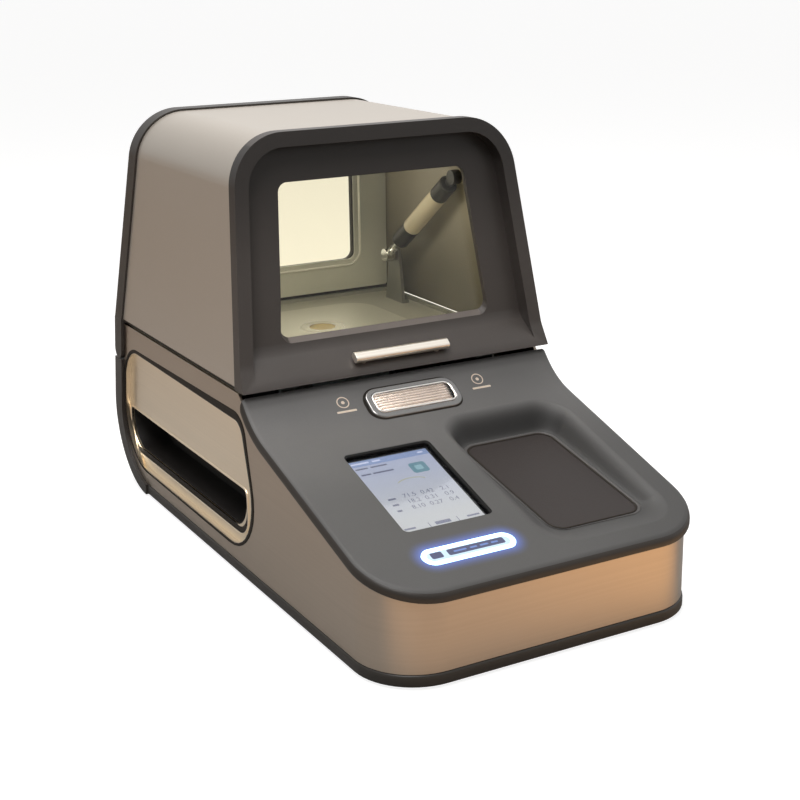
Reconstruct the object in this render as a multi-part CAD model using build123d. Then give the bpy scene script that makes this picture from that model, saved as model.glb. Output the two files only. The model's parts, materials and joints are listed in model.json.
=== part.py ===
from build123d import *
import os
from math import cos, radians, sin, tan

# Benchtop XRF analyser: a wrapped steel base with a sloping console, and a hinged hood over
# the sample chamber.  Millimetres.  While it is being built, X = 0 is the middle, Y = 0 the
# front of the bottom trim and Z = 0 the underside of that trim.

# ---- base shell ----
WIDTH = 240.0              # across the bottom trim
PLAN_CORNER_R = 41.5       # front corners, seen from above
TRIM_H = 8.0               # black bead round the bottom
TRIM_WALL = 7.0
WRAP_INSET = 1.0           # wrap set in from the trim's outer face
WRAP_T = 2.0               # stainless wrap sheet
FOOT_STAND = 2.0           # feet below the trim
FOOT_R = 9.0
FOOT_STEM_R = 3.0
SCREW_R = 2.0
FOOT_IN = 22.0             # feet in from the side of the trim
FOOT_Y = (40.0, 362.0)
PAN_T = 2.0
PAN_Z = 2.0                # underside of the bottom pan
JOIN = 0.3                 # assembly gap between pieces that are screwed or clipped together
SEAT = 0.1                 # gap between faces that rest on each other

# ---- console deck ----
DECK_FRONT_Z = 61.2        # deck surface over Y = 0
DECK_SLOPE = 16.86         # degrees
DECK_RISE = 49.5           # degrees, the last stretch below the hood
DECK_KINK_Y = 177.3        # where slope and rise would meet without the curve
DECK_CURVE_R = 62.0
LIP_PROUD = 2.4            # deck edge stands proud of the trim
LIP_H = 6.5
DECK_T = 3.0

# ---- hood ----
SEAM_Z = 135.0             # middle of the gap between hood and base
SEAM_GAP = 3.0
HOOD_TOP = 301.0
HOOD_PROUD = 1.5           # hood frames outside the trim at the seam, each side
HOOD_DRAFT = 5.43          # degrees, sides leaning in
HOOD_LEAN = 10.2           # degrees, front leans back and rear leans forward
HOOD_CORNER_R = 38.0
FRONT_Y = 192.1            # front plane at the seam
REAR_Y = 442.4             # rear plane at the seam
FRAME_PROUD = 1.5          # frames stand proud of the hood skin
SKIN_T = 2.0
LINER_T = 1.5
LINER_GAP = 1.2
FRONT_FRAME_D = 10.0       # visible depth of the front frame on the sides
REAR_BAND_D = 15.0         # visible depth of the rear band on the sides
SLEEVE_D = 6.0             # part of each frame that slides inside the skin
RIM_W = 10.0               # front rim round the scooped face
SCOOP_D = 12.0             # depth of the scooped face behind the rim
SCOOP_EDGE_Z = 140.0       # where the scoop's sloping foot meets the front edge
SCOOP_SLOPE = 39.6         # degrees, slope of that foot
SCOOP_R = 14.0
FLARE_Z = 152.0            # front edge flares forward below this height
FLARE_OUT = 4.5
FLARE_R = 25.0
WINDOW_DOWN = 34.5         # top of the window below the top of the hood
WINDOW_LOW_Z = 164.5
WINDOW_IN = 39.2           # window's foot in from the hood's side at the seam
WINDOW_CORNER_R = 7.0
WINDOW_SILL = 4.5          # the opening widens towards the front by this much at the sill
GLASS_T = 3.0
GLASS_LAP = 6.0            # glass wider than the opening, each side
GASKET_CLEAR = 4.5         # gasket's lip back from the opening
REAR_FLARE = 8.0           # chamfer round the outside of the rear window
REAR_DISH = 3.0            # rear face set in behind its rim
DISH_FOOT = 12.0           # foot of that dish over the hood's lower edge
GASKET_T = 1.5

# ---- hinge and gas spring ----
HINGE_Z = 110.0
HINGE_SET_IN = 7.5         # hinge axis in front of the rear plane
BARREL_R = 7.2
BARREL_GAP = 0.7
PIN_R = 2.5
PIN_FIT = 0.05             # running clearance on a radius
HINGE_X = 70.0
LEAF_W = 24.0
LEAF_T = 2.5
LEAF_FRONT = 12.0          # leaf foot ahead of the hinge axis, and behind it
LEAF_REAR = 5.0
SPRING_WALL = 9.4          # upper ball in from the hood's liner
SPRING_TOP_Y = 277.0
SPRING_DOWN = 51.0         # upper ball below the top of the hood
SPRING_LOW = (382.0, 172.5)
SPRING_BODY_R = 7.2
SPRING_ROD_R = 2.0
SPRING_END_R = 5.5
SPRING_END_T = 7.0
SPRING_BODY = (10.0, 104.0)  # start and end of the cylinder, from the upper ball
SPRING_NECK_R = 3.2
PISTON_BACK = 62.0         # piston behind the mouth of the cylinder
PISTON_T = 6.0
STUD_R = 2.4

# ---- grips in the sides ----
GRIP_TOP_Z = 115.0
GRIP_LOW_Z = 18.5
GRIP_TOP_Y = 200.0
GRIP_LOW_Y = 175.0
GRIP_R_FRONT_TOP = 14.0
GRIP_R_FRONT_LOW = 42.0
GRIP_R_REAR = 32.0
GRIP_DEPTH = 4.0           # grip panel set in from the wrap
GRIP_PANEL_T = 2.0
SLOT_TOP_Z = 63.0
SLOT_LOW_Z = 32.0
SLOT_FRONT_Y = 206.0
SLOT_REAR_Y = 434.0
SLOT_R_TOP = 6.0
SLOT_R_LOW = 22.0
POCKET_D = 24.0
POCKET_WALL = 1.5

# ---- rear shell ----
REAR_CORNER_R = 60.0       # rear bottom corner, seen from the side
REAR_INNER_R = 50.0
REAR_SPLIT_Z = 103.0       # hood band above, base band below
SHELL_T = 3.0
CHEEK_W = 6.0
BAY_HALF_W = 80.0          # connector bay in the rear
BAY_LOW_Z = 16.0
BAY_TOP_Z = 86.0
BAY_Y = 418.0              # outer face of the connector panel
BAY_WALL = 2.0

# ---- display, light bar, lamp and tray on the deck; s is measured up the slope ----
SCREEN_X = -45.8           # middle of the display
SCREEN_S = 97.0
SCREEN_W = 61.7
SCREEN_H = 83.0
BEZEL_W = 2.6
BEZEL_H = 7.0
GLASS_DEPTH = 2.4          # touch glass below the deck surface
BAR_X = -46.9
BAR_S = 29.0
BAR_L = 65.0
BAR_W = 15.0
BAR_RING = 3.2
LAMP_W = 72.0
LAMP_H = 27.0
LAMP_R = 10.0
LAMP_TILT = 33.2
LAMP_RIM = 5.0
LAMP_PROUD = 3.2
LENS_PROUD = 5.2
TRAY_MIDDLE = 2.4          # tray's inner edge from the middle
TRAY_S = 88.2
TRAY_SIDE = 14.4           # tray's outer edge in from the side of the trim
TRAY_L = 150.0
TRAY_R = 24.0
TRAY_FLOOR_Z = 58.8        # tray floor carried forward to Y = 0
TRAY_SLOPE = 11.3
TRAY_FLOOR_Y = (29.0, 146.0)
TRAY_BATTER = 14.1         # floor in from the outline, each side
TRAY_FLOOR_R = 13.0
MAT_EDGE = 4.0             # floor left bare round the mat
MAT_T = 1.6

# ---- chamber, stage and what lies below them ----
CHAMBER_T = 2.0
CHAMBER_FRONT_Y = 203.5
CHAMBER_REAR_Y = 423.0
SEAL_W = 3.6
SEAL_SET_IN = 0.4
STAGE_Y = (226.0, 377.0)
STAGE_HALF_W = 68.0
STAGE_T = 5.5
STAGE_R = 24.0
SPOT_Y = 315.0             # measuring spot on the stage
SPOT_R = 9.0
RING_R = 17.0
RING_T = 2.5
FRAME_T = 2.0              # chassis side plates
FRAME_FLANGE = 14.0
FRAME_CLEAR = 0.4          # between plate and grip pocket
FRAME_HOLE = (120.0, 30.0, 8.0)  # length, height and corner radius of the cable hole
FRAME_HOLE_Z = 90.0
SCREW_Y = (222.0, 300.0, 378.0)  # chassis screws
HV_X = (-58.0, 22.0)
HV_Y = (128.0, 192.0)
HV_H = 52.0
HV_R = 3.0
BOARD_HALF_W = 80.0
BOARD_Y = (22.0, 116.0)
BOARD_UP = 8.0             # board above the pan
BOARD_T = 1.6
POST_IN = 6.0
POST_R = 3.0
SUPPLY_SIDE = 17.0         # power supply from the chassis plate
SUPPLY_W = 50.0
SUPPLY_Y = (300.0, 388.0)
SUPPLY_H = 38.0
VENT_W = 3.0
VENT_H = 20.0
VENT_PITCH = 9.0
VENT_DEEP = 1.5
OPTICS_W = 64.0
OPTICS_Y = (268.0, 356.0)
OPTICS_LOW_Z = 88.0
TUBE_NOSE = (29.0, 49.0)   # start and end along the beam, from the spot
TUBE_NOSE_R = 8.0
TUBE_BODY_END = 122.0
TUBE_BODY_R = 15.0
SHIELD_T = 2.5
SHIELD_FOOT_BACK = 24.0    # middle of the shield's foot, from the tube's end
DETECTOR_START = 18.0
DETECTOR_END = 88.0
DETECTOR_R = 9.0
WHEEL_AT = 25.0            # filter wheel along the beam
WHEEL_OFFSET = 18.0
WHEEL_R = 24.0
WHEEL_T = 1.6
FILTER_R = 4.0
MOTOR_R = 7.0
MOTOR_L = 17.0
FAN_SIZE = 60.0
FAN_X = -44.0
FAN_Z = 51.0
FAN_D = 18.0
FAN_BORE_R = 28.0
FAN_BLADE_R = 26.8
FAN_HUB_R = 12.0
INLET_X = 44.0
INLET_Z = 38.0
INLET_W = 28.0
INLET_H = 21.0
INLET_D = 17.0
SWITCH_X = 44.0
SWITCH_Z = 68.0
SWITCH_W = 22.0
SWITCH_H = 14.0
PORT_X = 8.0
PORT_Z = 50.0
PORT_W = 20.0
PORT_H = 46.0
HANDLE_UP = 8.0            # middle of the bar, up the sloping foot from its edge
HANDLE_L = 74.0
HANDLE_H = 7.6
HANDLE_T = 5.5
HANDLE_EDGE_R = 2.2
HANDLE_GAP = 2.0           # bar's back off the sloping foot
HANDLE_POST_X = 29.0
HANDLE_POST_R = 2.6
INTERLOCK_IN = 24.5        # switch in from the hood's side at the seam
INTERLOCK_Y = 216.0
PLUNGER_R = 2.5
PLUNGER_UP = 1.2           # pressed plunger above the chamber floor
TONGUE_H = 12.0

# ---- worked out from the sizes above ----
LEAN_T = tan(radians(HOOD_LEAN))
LEAN_C = cos(radians(HOOD_LEAN))
SLOPE_T = tan(radians(DECK_SLOPE))
SLOPE_C = cos(radians(DECK_SLOPE))
SLOPE_S = sin(radians(DECK_SLOPE))
SCOOP_T = tan(radians(SCOOP_SLOPE))
RISE_T = tan(radians(DECK_RISE))
RISE_C = cos(radians(DECK_RISE))
BASE_TOP = SEAM_Z - SEAM_GAP / 2
HOOD_LOW = SEAM_Z + SEAM_GAP / 2
HOOD_HALF_W = WIDTH / 2 + HOOD_PROUD
WINDOW_TOP_Z = HOOD_TOP - WINDOW_DOWN
WINDOW_HALF_LOW = HOOD_HALF_W - WINDOW_IN
SPRING_TOP = (SPRING_TOP_Y, HOOD_TOP - SPRING_DOWN)
INTERLOCK_X = INTERLOCK_IN - HOOD_HALF_W
FOOT_X = WIDTH / 2 - FOOT_IN
TRAY_W = WIDTH / 2 - TRAY_SIDE - TRAY_MIDDLE
TRAY_X = TRAY_MIDDLE + TRAY_W / 2
TRAY_FLOOR_W = TRAY_W - 2 * TRAY_BATTER
WRAP_HALF = WIDTH / 2 - WRAP_INSET
INNER_HALF = WRAP_HALF - WRAP_T - JOIN
SHELL_HALF = HOOD_HALF_W
INSIDE_HALF = WRAP_HALF - GRIP_DEPTH - GRIP_PANEL_T - 1.0
POCKET_MOUTH = WRAP_HALF - GRIP_DEPTH - GRIP_PANEL_T - SEAT
FRAME_X = POCKET_MOUTH - POCKET_D - POCKET_WALL - FRAME_CLEAR - FRAME_T
FAR = 400.0                # longer than anything it cuts
LOW = (Align.CENTER, Align.CENTER, Align.MIN)


def front_y(z):
    """Front plane of the hood."""
    return FRONT_Y + (z - SEAM_Z) * LEAN_T


def rear_y(z):
    """Rear plane of hood and base."""
    return REAR_Y - (z - SEAM_Z) * LEAN_T


def hood_half(z):
    """Half width of the hood frames at a height."""
    return HOOD_HALF_W - (z - SEAM_Z) * tan(radians(HOOD_DRAFT))


def liner_x(z):
    """Inner face of the hood liner at a height, on the right side."""
    return hood_half(z) - FRAME_PROUD - SKIN_T - LINER_GAP - LINER_T


SPRING_X = liner_x(SPRING_TOP[1]) - SPRING_WALL
HINGE_Y = rear_y(HINGE_Z) - HINGE_SET_IN
REAR_ARC_Y = rear_y(REAR_CORNER_R) - REAR_CORNER_R / LEAN_C
DEPTH = REAR_ARC_Y + REAR_CORNER_R
CENTRE_Y = (DEPTH - LIP_PROUD) / 2
PLACE = Pos(0, -CENTRE_Y, FOOT_STAND)


# ---------------------------------------------------------------- outlines

def outline(points, radii):
    """Closed outline through the points, with the corners in radii rounded."""
    face = make_face(Polyline(*points, close=True))
    for index, radius in radii.items():
        corner = face.vertices().sort_by_distance(Vector(*points[index]))[0]
        face = fillet(corner, radius)
    return face


def across(face, x0, x1):
    """A side view (Y, Z) made solid from x0 to x1."""
    return extrude(Plane.YZ.offset(x0) * face, amount=x1 - x0)


def along(face, y0, y1):
    """A front view (X, Z) made solid from y0 to y1."""
    return extrude(Plane.XZ.offset(-y1) * face, amount=y1 - y0)


def box(x0, x1, y0, y1, z0, z1):
    return Pos(x0, y0, z0) * Box(x1 - x0, y1 - y0, z1 - z0, align=Align.MIN)


def both(shape):
    """The piece and its mirror image."""
    return shape + mirror(shape, about=Plane.YZ)


def plan(grow, rear):
    """U-shaped plan of the base, grown outwards, ending at Y = rear."""
    half = WIDTH / 2 + grow
    points = [(-half, -grow), (half, -grow), (half, rear), (-half, rear)]
    radius = PLAN_CORNER_R + grow
    return outline(points, {0: radius, 1: radius})


def deck_corner(drop):
    """Where slope and rise meet, this far below the deck surface."""
    kink_z = DECK_FRONT_Z + DECK_KINK_Y * SLOPE_T
    slope_z = kink_z - drop / SLOPE_C
    rise_z = kink_z - drop / RISE_C
    dy = (slope_z - rise_z) / (RISE_T - SLOPE_T)
    return DECK_KINK_Y + dy, slope_z + dy * SLOPE_T


def deck_edge(drop, top):
    """Corners of the deck line, lowered by drop: front end, kink, rear end at height top."""
    kink = deck_corner(drop)
    start = -40.0
    return [(start, kink[1] - (kink[0] - start) * SLOPE_T), kink,
            (kink[0] + (top - kink[1]) / RISE_T, top)]


def deck_strip(drop0, drop1, top):
    """Side view of the layer between two depths below the deck surface."""
    upper = deck_edge(drop0, top)
    lower = deck_edge(drop1, top)
    radii = {1: DECK_CURVE_R + drop0, 4: DECK_CURVE_R + drop1}
    return outline(upper + lower[::-1], radii)


def rear_outline(inset, corner_r, floor, top):
    """Side view of the base behind Y = 300, set in from the rear plane."""
    points = [(300.0, floor), (rear_y(floor) - inset, floor), (rear_y(top) - inset, top),
              (300.0, top)]
    return outline(points, {1: corner_r})


def base_side(drop, top, inset, corner_r, floor):
    """Side view of the whole base."""
    edge = deck_edge(drop, top)
    points = [(edge[0][0], floor)] + edge
    points += [(rear_y(top) - inset, top), (rear_y(floor) - inset, floor)]
    return outline(points, {2: DECK_CURVE_R + drop, 5: corner_r})


def hood_arch(inset, low):
    """Front view of the hood, set in from its outer face, down to height low."""
    half_low = hood_half(low) - inset
    top = HOOD_TOP - inset
    half_top = hood_half(top) - inset
    points = [(-half_low, low), (half_low, low), (half_top, top), (-half_top, top)]
    radius = HOOD_CORNER_R - inset
    return outline(points, {2: radius, 3: radius})


def front_layer(d0, d1, low, high):
    """Layer between two depths behind the front plane."""
    points = [(front_y(low) + d0, low), (front_y(low) + d1, low),
              (front_y(high) + d1, high), (front_y(high) + d0, high)]
    return across(outline(points, {}), -FAR, FAR)


def rear_layer(d0, d1, low, high):
    """Layer between two depths in front of the rear plane."""
    points = [(rear_y(low) - d0, low), (rear_y(low) - d1, low),
              (rear_y(high) - d1, high), (rear_y(high) - d0, high)]
    return across(outline(points, {}), -FAR, FAR)


def window_face(grow, sill=0.0):
    """Window outline in a front view, grown all round and lowered at the sill."""
    low = WINDOW_LOW_Z - grow - sill
    top = WINDOW_TOP_Z + grow
    side = tan(radians(HOOD_DRAFT))
    half_low = WINDOW_HALF_LOW + grow + (WINDOW_LOW_Z - low) * side
    half_top = WINDOW_HALF_LOW + grow - (top - WINDOW_LOW_Z) * side
    points = [(-half_low, low), (half_low, low), (half_top, top), (-half_top, top)]
    radius = WINDOW_CORNER_R + grow
    return outline(points, {i: radius for i in range(4)})


DECK_PLANE = Plane(origin=(0, 0, DECK_FRONT_Z), x_dir=(1, 0, 0), z_dir=(0, -SLOPE_S, SLOPE_C))
TRAY_PLANE = Plane(origin=(0, 0, TRAY_FLOOR_Z), x_dir=(1, 0, 0),
                   z_dir=(0, -sin(radians(TRAY_SLOPE)), cos(radians(TRAY_SLOPE))))


def lamp_plane():
    """Plane touching the curved stretch of the deck where its slope is the lamp's tilt."""
    kink_y, kink_z = deck_corner(0)
    start = DECK_CURVE_R * tan(radians(DECK_RISE - DECK_SLOPE) / 2)
    centre_y = kink_y - start * SLOPE_C - DECK_CURVE_R * SLOPE_S
    centre_z = kink_z - start * SLOPE_S + DECK_CURVE_R * SLOPE_C
    lean = radians(LAMP_TILT)
    origin = (0, centre_y + DECK_CURVE_R * sin(lean), centre_z - DECK_CURVE_R * cos(lean))
    return Plane(origin=origin, x_dir=(1, 0, 0), z_dir=(0, -sin(lean), cos(lean)))


LAMP_PLANE = lamp_plane()


def on_plane(plane, face, low, high):
    """A face on a plane, made solid between two heights over that plane."""
    return extrude(plane.offset(low) * face, amount=high - low)


def screen_block(grow, low, high):
    face = Pos(SCREEN_X, SCREEN_S) * RectangleRounded(SCREEN_W + 2 * grow, SCREEN_H + 2 * grow, 3.0)
    return on_plane(DECK_PLANE, face, low, high)


def bar_block(grow, low, high):
    face = Pos(BAR_X, BAR_S) * SlotOverall(BAR_L + 2 * grow, BAR_W + 2 * grow)
    return on_plane(DECK_PLANE, face, low, high)


def lamp_block(grow, low, high):
    face = RectangleRounded(LAMP_W + 2 * grow, LAMP_H + 2 * grow, LAMP_R + grow)
    return on_plane(LAMP_PLANE, face, low, high)


def tray_loft(grow, lift, deep):
    """Tray hollow: the outline on the deck drawn down to the tray floor."""
    upper = Pos(TRAY_X, TRAY_S) * RectangleRounded(TRAY_W + 2 * grow, TRAY_L + 2 * grow, TRAY_R + grow)
    lower_y = [y / cos(radians(TRAY_SLOPE)) for y in TRAY_FLOOR_Y]
    lower = Pos(TRAY_X, sum(lower_y) / 2) * RectangleRounded(
        TRAY_FLOOR_W + 2 * grow, lower_y[1] - lower_y[0] + 2 * grow, TRAY_FLOOR_R + grow)
    return loft([DECK_PLANE.offset(lift) * upper, TRAY_PLANE.offset(-deep) * lower], ruled=True)


def mat_block(inset, low, high):
    lower_y = [y / cos(radians(TRAY_SLOPE)) for y in TRAY_FLOOR_Y]
    edge = 2 * (MAT_EDGE + inset)
    face = Pos(TRAY_X, sum(lower_y) / 2) * RectangleRounded(
        TRAY_FLOOR_W - edge, lower_y[1] - lower_y[0] - edge, TRAY_FLOOR_R - MAT_EDGE - inset)
    return on_plane(TRAY_PLANE, face, low, high)


# ---------------------------------------------------------------- base shell

def bottom_trim():
    """Black bead that runs round the front and sides under the wrap."""
    ring = extrude(plan(0, REAR_ARC_Y), TRIM_H) - extrude(plan(-TRIM_WALL, REAR_ARC_Y + 1), TRIM_H)
    outer = ring.edges().group_by(Axis.Z)
    ring = chamfer([e for e in outer[0] if e.length > WIDTH / 3], 1.5)
    return ring


def foot_places():
    return [(x, y) for x in (-FOOT_X, FOOT_X) for y in FOOT_Y]


def screw_places():
    x = FRAME_X - FRAME_FLANGE / 2
    return [(side * x, y) for side in (-1, 1) for y in SCREW_Y]


def base_pan():
    """Bottom pan with holes for the feet and the chassis screws."""
    face = plan(-TRIM_WALL - JOIN, REAR_ARC_Y - 2)
    face -= [Pos(x, y) * Circle(FOOT_STEM_R + 0.2) for x, y in foot_places()]
    face -= [Pos(x, y) * Circle(SCREW_R + 0.2) for x, y in screw_places()]
    return Pos(0, 0, PAN_Z) * extrude(face, PAN_T)


def rubber_feet():
    """Four feet, each with a stem pressed through the pan."""
    feet = []
    for x, y in foot_places():
        pad = Pos(x, y, -FOOT_STAND) * Cylinder(FOOT_R, PAN_Z + FOOT_STAND - SEAT, align=LOW)
        pad = chamfer(pad.edges().group_by(Axis.Z)[0], 1.0)
        stem = Pos(x, y, PAN_Z - SEAT) * Cylinder(FOOT_STEM_R, PAN_T + 2.0, align=LOW)
        feet.append(pad + stem)
    return Part() + feet


def case_screws():
    """Screws through the pan into the chassis flanges."""
    screws = []
    for x, y in screw_places():
        head = Pos(x, y, PAN_Z - 1.7) * Cylinder(3.6, 1.6, align=LOW)
        shank = Pos(x, y, PAN_Z - SEAT) * Cylinder(SCREW_R, PAN_T + FRAME_T + 3.0, align=LOW)
        drive = Pos(x, y, PAN_Z - 1.7) * Cylinder(1.4, 1.0, align=LOW)
        screws.append(head + shank - drive)
    return Part() + screws


def grip_outline(grow=0.0):
    """Side view of the recess for the grip panel."""
    top = GRIP_TOP_Z + grow
    low = GRIP_LOW_Z - grow
    inset = REAR_BAND_D + 2.0 - grow
    points = [(GRIP_TOP_Y - grow, top), (rear_y(top) - inset, top),
              (rear_y(low) - inset, low), (GRIP_LOW_Y - grow, low)]
    radii = {0: GRIP_R_FRONT_TOP, 1: GRIP_R_REAR, 2: REAR_INNER_R - 8, 3: GRIP_R_FRONT_LOW}
    return outline(points, {i: r + grow for i, r in radii.items()})


def slot_outline(grow=0.0):
    """Side view of the hand slot."""
    points = [(SLOT_FRONT_Y - grow, SLOT_TOP_Z + grow), (SLOT_REAR_Y + grow, SLOT_TOP_Z + grow),
              (SLOT_REAR_Y + grow, SLOT_LOW_Z - grow), (SLOT_FRONT_Y - grow, SLOT_LOW_Z - grow)]
    radii = {0: SLOT_R_TOP, 1: SLOT_R_TOP, 2: SLOT_R_LOW, 3: SLOT_R_LOW}
    return outline(points, {i: r + grow for i, r in radii.items()})


def base_wrap():
    """Stainless sheet bent round the front and both sides, with the grip openings."""
    sheet = extrude(plan(-WRAP_INSET, FAR * 2), BASE_TOP) - extrude(
        plan(-WRAP_INSET - WRAP_T, FAR * 2 + 1), BASE_TOP)
    side = base_side(LIP_H + JOIN, BASE_TOP, REAR_BAND_D + JOIN, REAR_INNER_R, TRIM_H + JOIN)
    wrap = sheet & across(side, -FAR, FAR)
    return wrap - across(grip_outline(), -FAR, FAR)


def grip_panel():
    """Right grip panel: a pressed champagne panel whose edge returns out to the wrap."""
    face = WRAP_HALF - GRIP_DEPTH
    tub = across(grip_outline(-JOIN), face - GRIP_PANEL_T, WRAP_HALF - 0.4)
    tub -= across(grip_outline(-JOIN - 1.2), face, WRAP_HALF)
    return tub - across(slot_outline(), face - 2 * GRIP_PANEL_T, WRAP_HALF)


def grip_pocket():
    """Right grip pocket: a black moulded box behind the slot."""
    mouth = POCKET_MOUTH
    back = mouth - POCKET_D
    shell = across(slot_outline(POCKET_WALL), back - POCKET_WALL, mouth)
    return shell - across(slot_outline(0.0), back, WRAP_HALF)


# ---------------------------------------------------------------- rear of the base

def hinge_round(radius, x0, x1):
    return Plane.YZ.offset(x0) * (Pos(HINGE_Y, HINGE_Z) * extrude(Circle(radius), x1 - x0))


def rear_shell():
    """Black moulding that turns up from the floor to the hinge line, with a connector bay."""
    outer = rear_outline(0, REAR_CORNER_R, 0, REAR_SPLIT_Z)
    band = rear_outline(REAR_BAND_D, REAR_INNER_R, TRIM_H, REAR_SPLIT_Z + 1)
    inner = rear_outline(SHELL_T, REAR_CORNER_R - SHELL_T, SHELL_T, REAR_SPLIT_Z - SHELL_T)
    shell = across(outer, -SHELL_HALF, SHELL_HALF)
    hollow = SHELL_HALF - CHEEK_W
    shell -= across(band, -FAR, FAR)
    shell -= across(inner, -hollow, hollow)
    shell -= box(-FAR, FAR, 0, REAR_ARC_Y + JOIN, -1, FAR)
    shelf = box(-INSIDE_HALF, INSIDE_HALF, CHAMBER_REAR_Y + JOIN, rear_y(REAR_SPLIT_Z) - 2,
                REAR_SPLIT_Z - 2 * SHELL_T, REAR_SPLIT_Z - SHELL_T)
    shell += shelf
    shell -= hinge_round(BARREL_R + BARREL_GAP, -FAR, FAR)
    for x in (-HINGE_X, HINGE_X):
        half = LEAF_W / 2 + JOIN
        shell -= box(x - half, x + half, HINGE_Y - LEAF_FRONT - JOIN, HINGE_Y + LEAF_REAR + JOIN,
                     REAR_SPLIT_Z - SHELL_T, HINGE_Z)
    return shell - box(-BAY_HALF_W, BAY_HALF_W, BAY_Y - 10, FAR * 2, BAY_LOW_Z, BAY_TOP_Z)


def rear_panel():
    """Connector panel at the bottom of a shallow tub that lines the bay."""
    wall = BAY_WALL
    tub = box(-BAY_HALF_W + JOIN, BAY_HALF_W - JOIN, BAY_Y - wall, FAR * 2,
              BAY_LOW_Z + JOIN, BAY_TOP_Z - JOIN)
    tub -= box(-BAY_HALF_W + wall, BAY_HALF_W - wall, BAY_Y, FAR * 2,
               BAY_LOW_Z + wall, BAY_TOP_Z - wall)
    tub &= across(rear_outline(1.0, REAR_CORNER_R - 1.0, 1.0, REAR_SPLIT_Z), -FAR, FAR)
    for x, z, w, h in ((INLET_X, INLET_Z, INLET_W, INLET_H), (SWITCH_X, SWITCH_Z, SWITCH_W, SWITCH_H),
                       (PORT_X, PORT_Z, PORT_W, PORT_H)):
        grow = JOIN
        tub -= box(x - w / 2 - grow, x + w / 2 + grow, BAY_Y - 3 * wall, BAY_Y + 1,
                   z - h / 2 - grow, z + h / 2 + grow)
    grille = []
    for ring_r, count in ((6, 6), (12.5, 12), (19, 18), (25.5, 24)):
        for i in range(count):
            turn = radians(360 * i / count)
            grille.append((FAN_X + ring_r * cos(turn), FAN_Z + ring_r * sin(turn)))
    holes = Sketch() + [Pos(x, z) * Circle(2.1) for x, z in grille]
    return tub - along(holes, BAY_Y - 3 * wall, BAY_Y + 1)


def power_inlet():
    """Mains inlet: a shrouded socket with three blades."""
    x, z = INLET_X, INLET_Z
    front = BAY_Y + SEAT
    flange = along(Pos(x, z) * RectangleRounded(INLET_W + 8, INLET_H + 6, 2), front, front + 2.5)
    body = along(Pos(x, z) * RectangleRounded(INLET_W, INLET_H, 2), front - INLET_D - 4, front)
    socket = along(Pos(x, z) * RectangleRounded(INLET_W - 4, INLET_H - 4, 3),
                   front - INLET_D, front + 3)
    inlet = flange + body - socket
    for dx, dz in ((-7, -1.5), (7, -1.5), (0, 2.5)):
        inlet += box(x + dx - 1, x + dx + 1, front - INLET_D - 1, front - 6,
                     z + dz - 2, z + dz + 2)
    return inlet


def power_switch_body():
    """Frame of the rocker switch, with cheeks that carry the rocker's trunnions."""
    x, z = SWITCH_X, SWITCH_Z
    front = BAY_Y + SEAT
    frame = along(Pos(x, z) * RectangleRounded(SWITCH_W + 4, SWITCH_H + 4, 1.5), front, front + 1.6)
    frame += along(Pos(x, z) * Rectangle(SWITCH_W, SWITCH_H), front - 15, front)
    frame -= along(Pos(x, z) * Rectangle(SWITCH_W - 3, SWITCH_H - 3), front - 13, front + 2)
    return frame - across(Pos(BAY_Y - 3, z) * Circle(1.0 + PIN_FIT), x - SWITCH_W / 2 + 0.5,
                          x + SWITCH_W / 2 - 0.5)


def power_rocker():
    """Rocker, bent a little at its middle, with a trunnion at each end."""
    x, z = SWITCH_X, SWITCH_Z
    w = SWITCH_W / 2 - 1.5 - 0.4
    h = SWITCH_H / 2 - 1.5 - 0.95
    y = BAY_Y - 3
    profile = [(y - 3, z - h + 1.5), (y + 6, z - h), (y + 4, z), (y + 6, z + h), (y - 3, z + h - 1.5)]
    rocker = across(outline(profile, {2: 9.0}), x - w, x + w)
    return rocker + across(Pos(y, z) * Circle(1.0), x - w - 1.0, x + w + 1.0)


def port_block():
    """Data ports: two flat sockets over a square one, in one moulded block."""
    x, z = PORT_X, PORT_Z
    front = BAY_Y + SEAT
    block = along(Pos(x, z) * Rectangle(PORT_W, PORT_H), front - 18, front)
    block += along(Pos(x, z) * RectangleRounded(PORT_W + 4, PORT_H + 4, 1.5), front, front + 1.2)
    for dz in (15, 5):
        block -= box(x - 6.6, x + 6.6, front - 14, front + 2, z + dz - 2.8, z + dz + 2.8)
        block += box(x - 5.6, x + 5.6, front - 14.5, front - 2, z + dz + 0.2, z + dz + 1.8)
    return block - box(x - 6, x + 6, front - 15, front + 2, z - 18, z - 8)


# ---------------------------------------------------------------- console deck

def console_deck():
    """Moulded console: a skin with a lip round its edge and a soft tray sunk in its right half."""
    top = BASE_TOP - 1.0
    rear = deck_edge(LIP_H, top)[2][0] + 1
    cap = across(deck_strip(0, LIP_H, top), -FAR, FAR) & (
        extrude(plan(LIP_PROUD, rear), FAR))
    lip_in = -WRAP_INSET - WRAP_T - JOIN
    cap -= across(deck_strip(DECK_T, LIP_H + 1, top + 3), -FAR, FAR) & (
        extrude(plan(lip_in, rear + 20), FAR))
    basin = tray_loft(DECK_T, -0.5, DECK_T + MAT_T)
    deck = cap + basin - tray_loft(0, 0.01, 0)
    deck -= mat_block(-0.4, -MAT_T - 0.1, 20)
    deck -= screen_block(BEZEL_W + JOIN, -DECK_T - 5, 20)
    deck -= bar_block(JOIN, -DECK_T - 5, 20)
    deck -= lamp_block(JOIN, -0.6, 20)
    return deck - lamp_block(-LAMP_RIM + 0.8, -DECK_T - 5, 20)


def tray_mat():
    """Soft mat let into the tray floor."""
    return mat_block(0, -MAT_T, 0)


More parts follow.
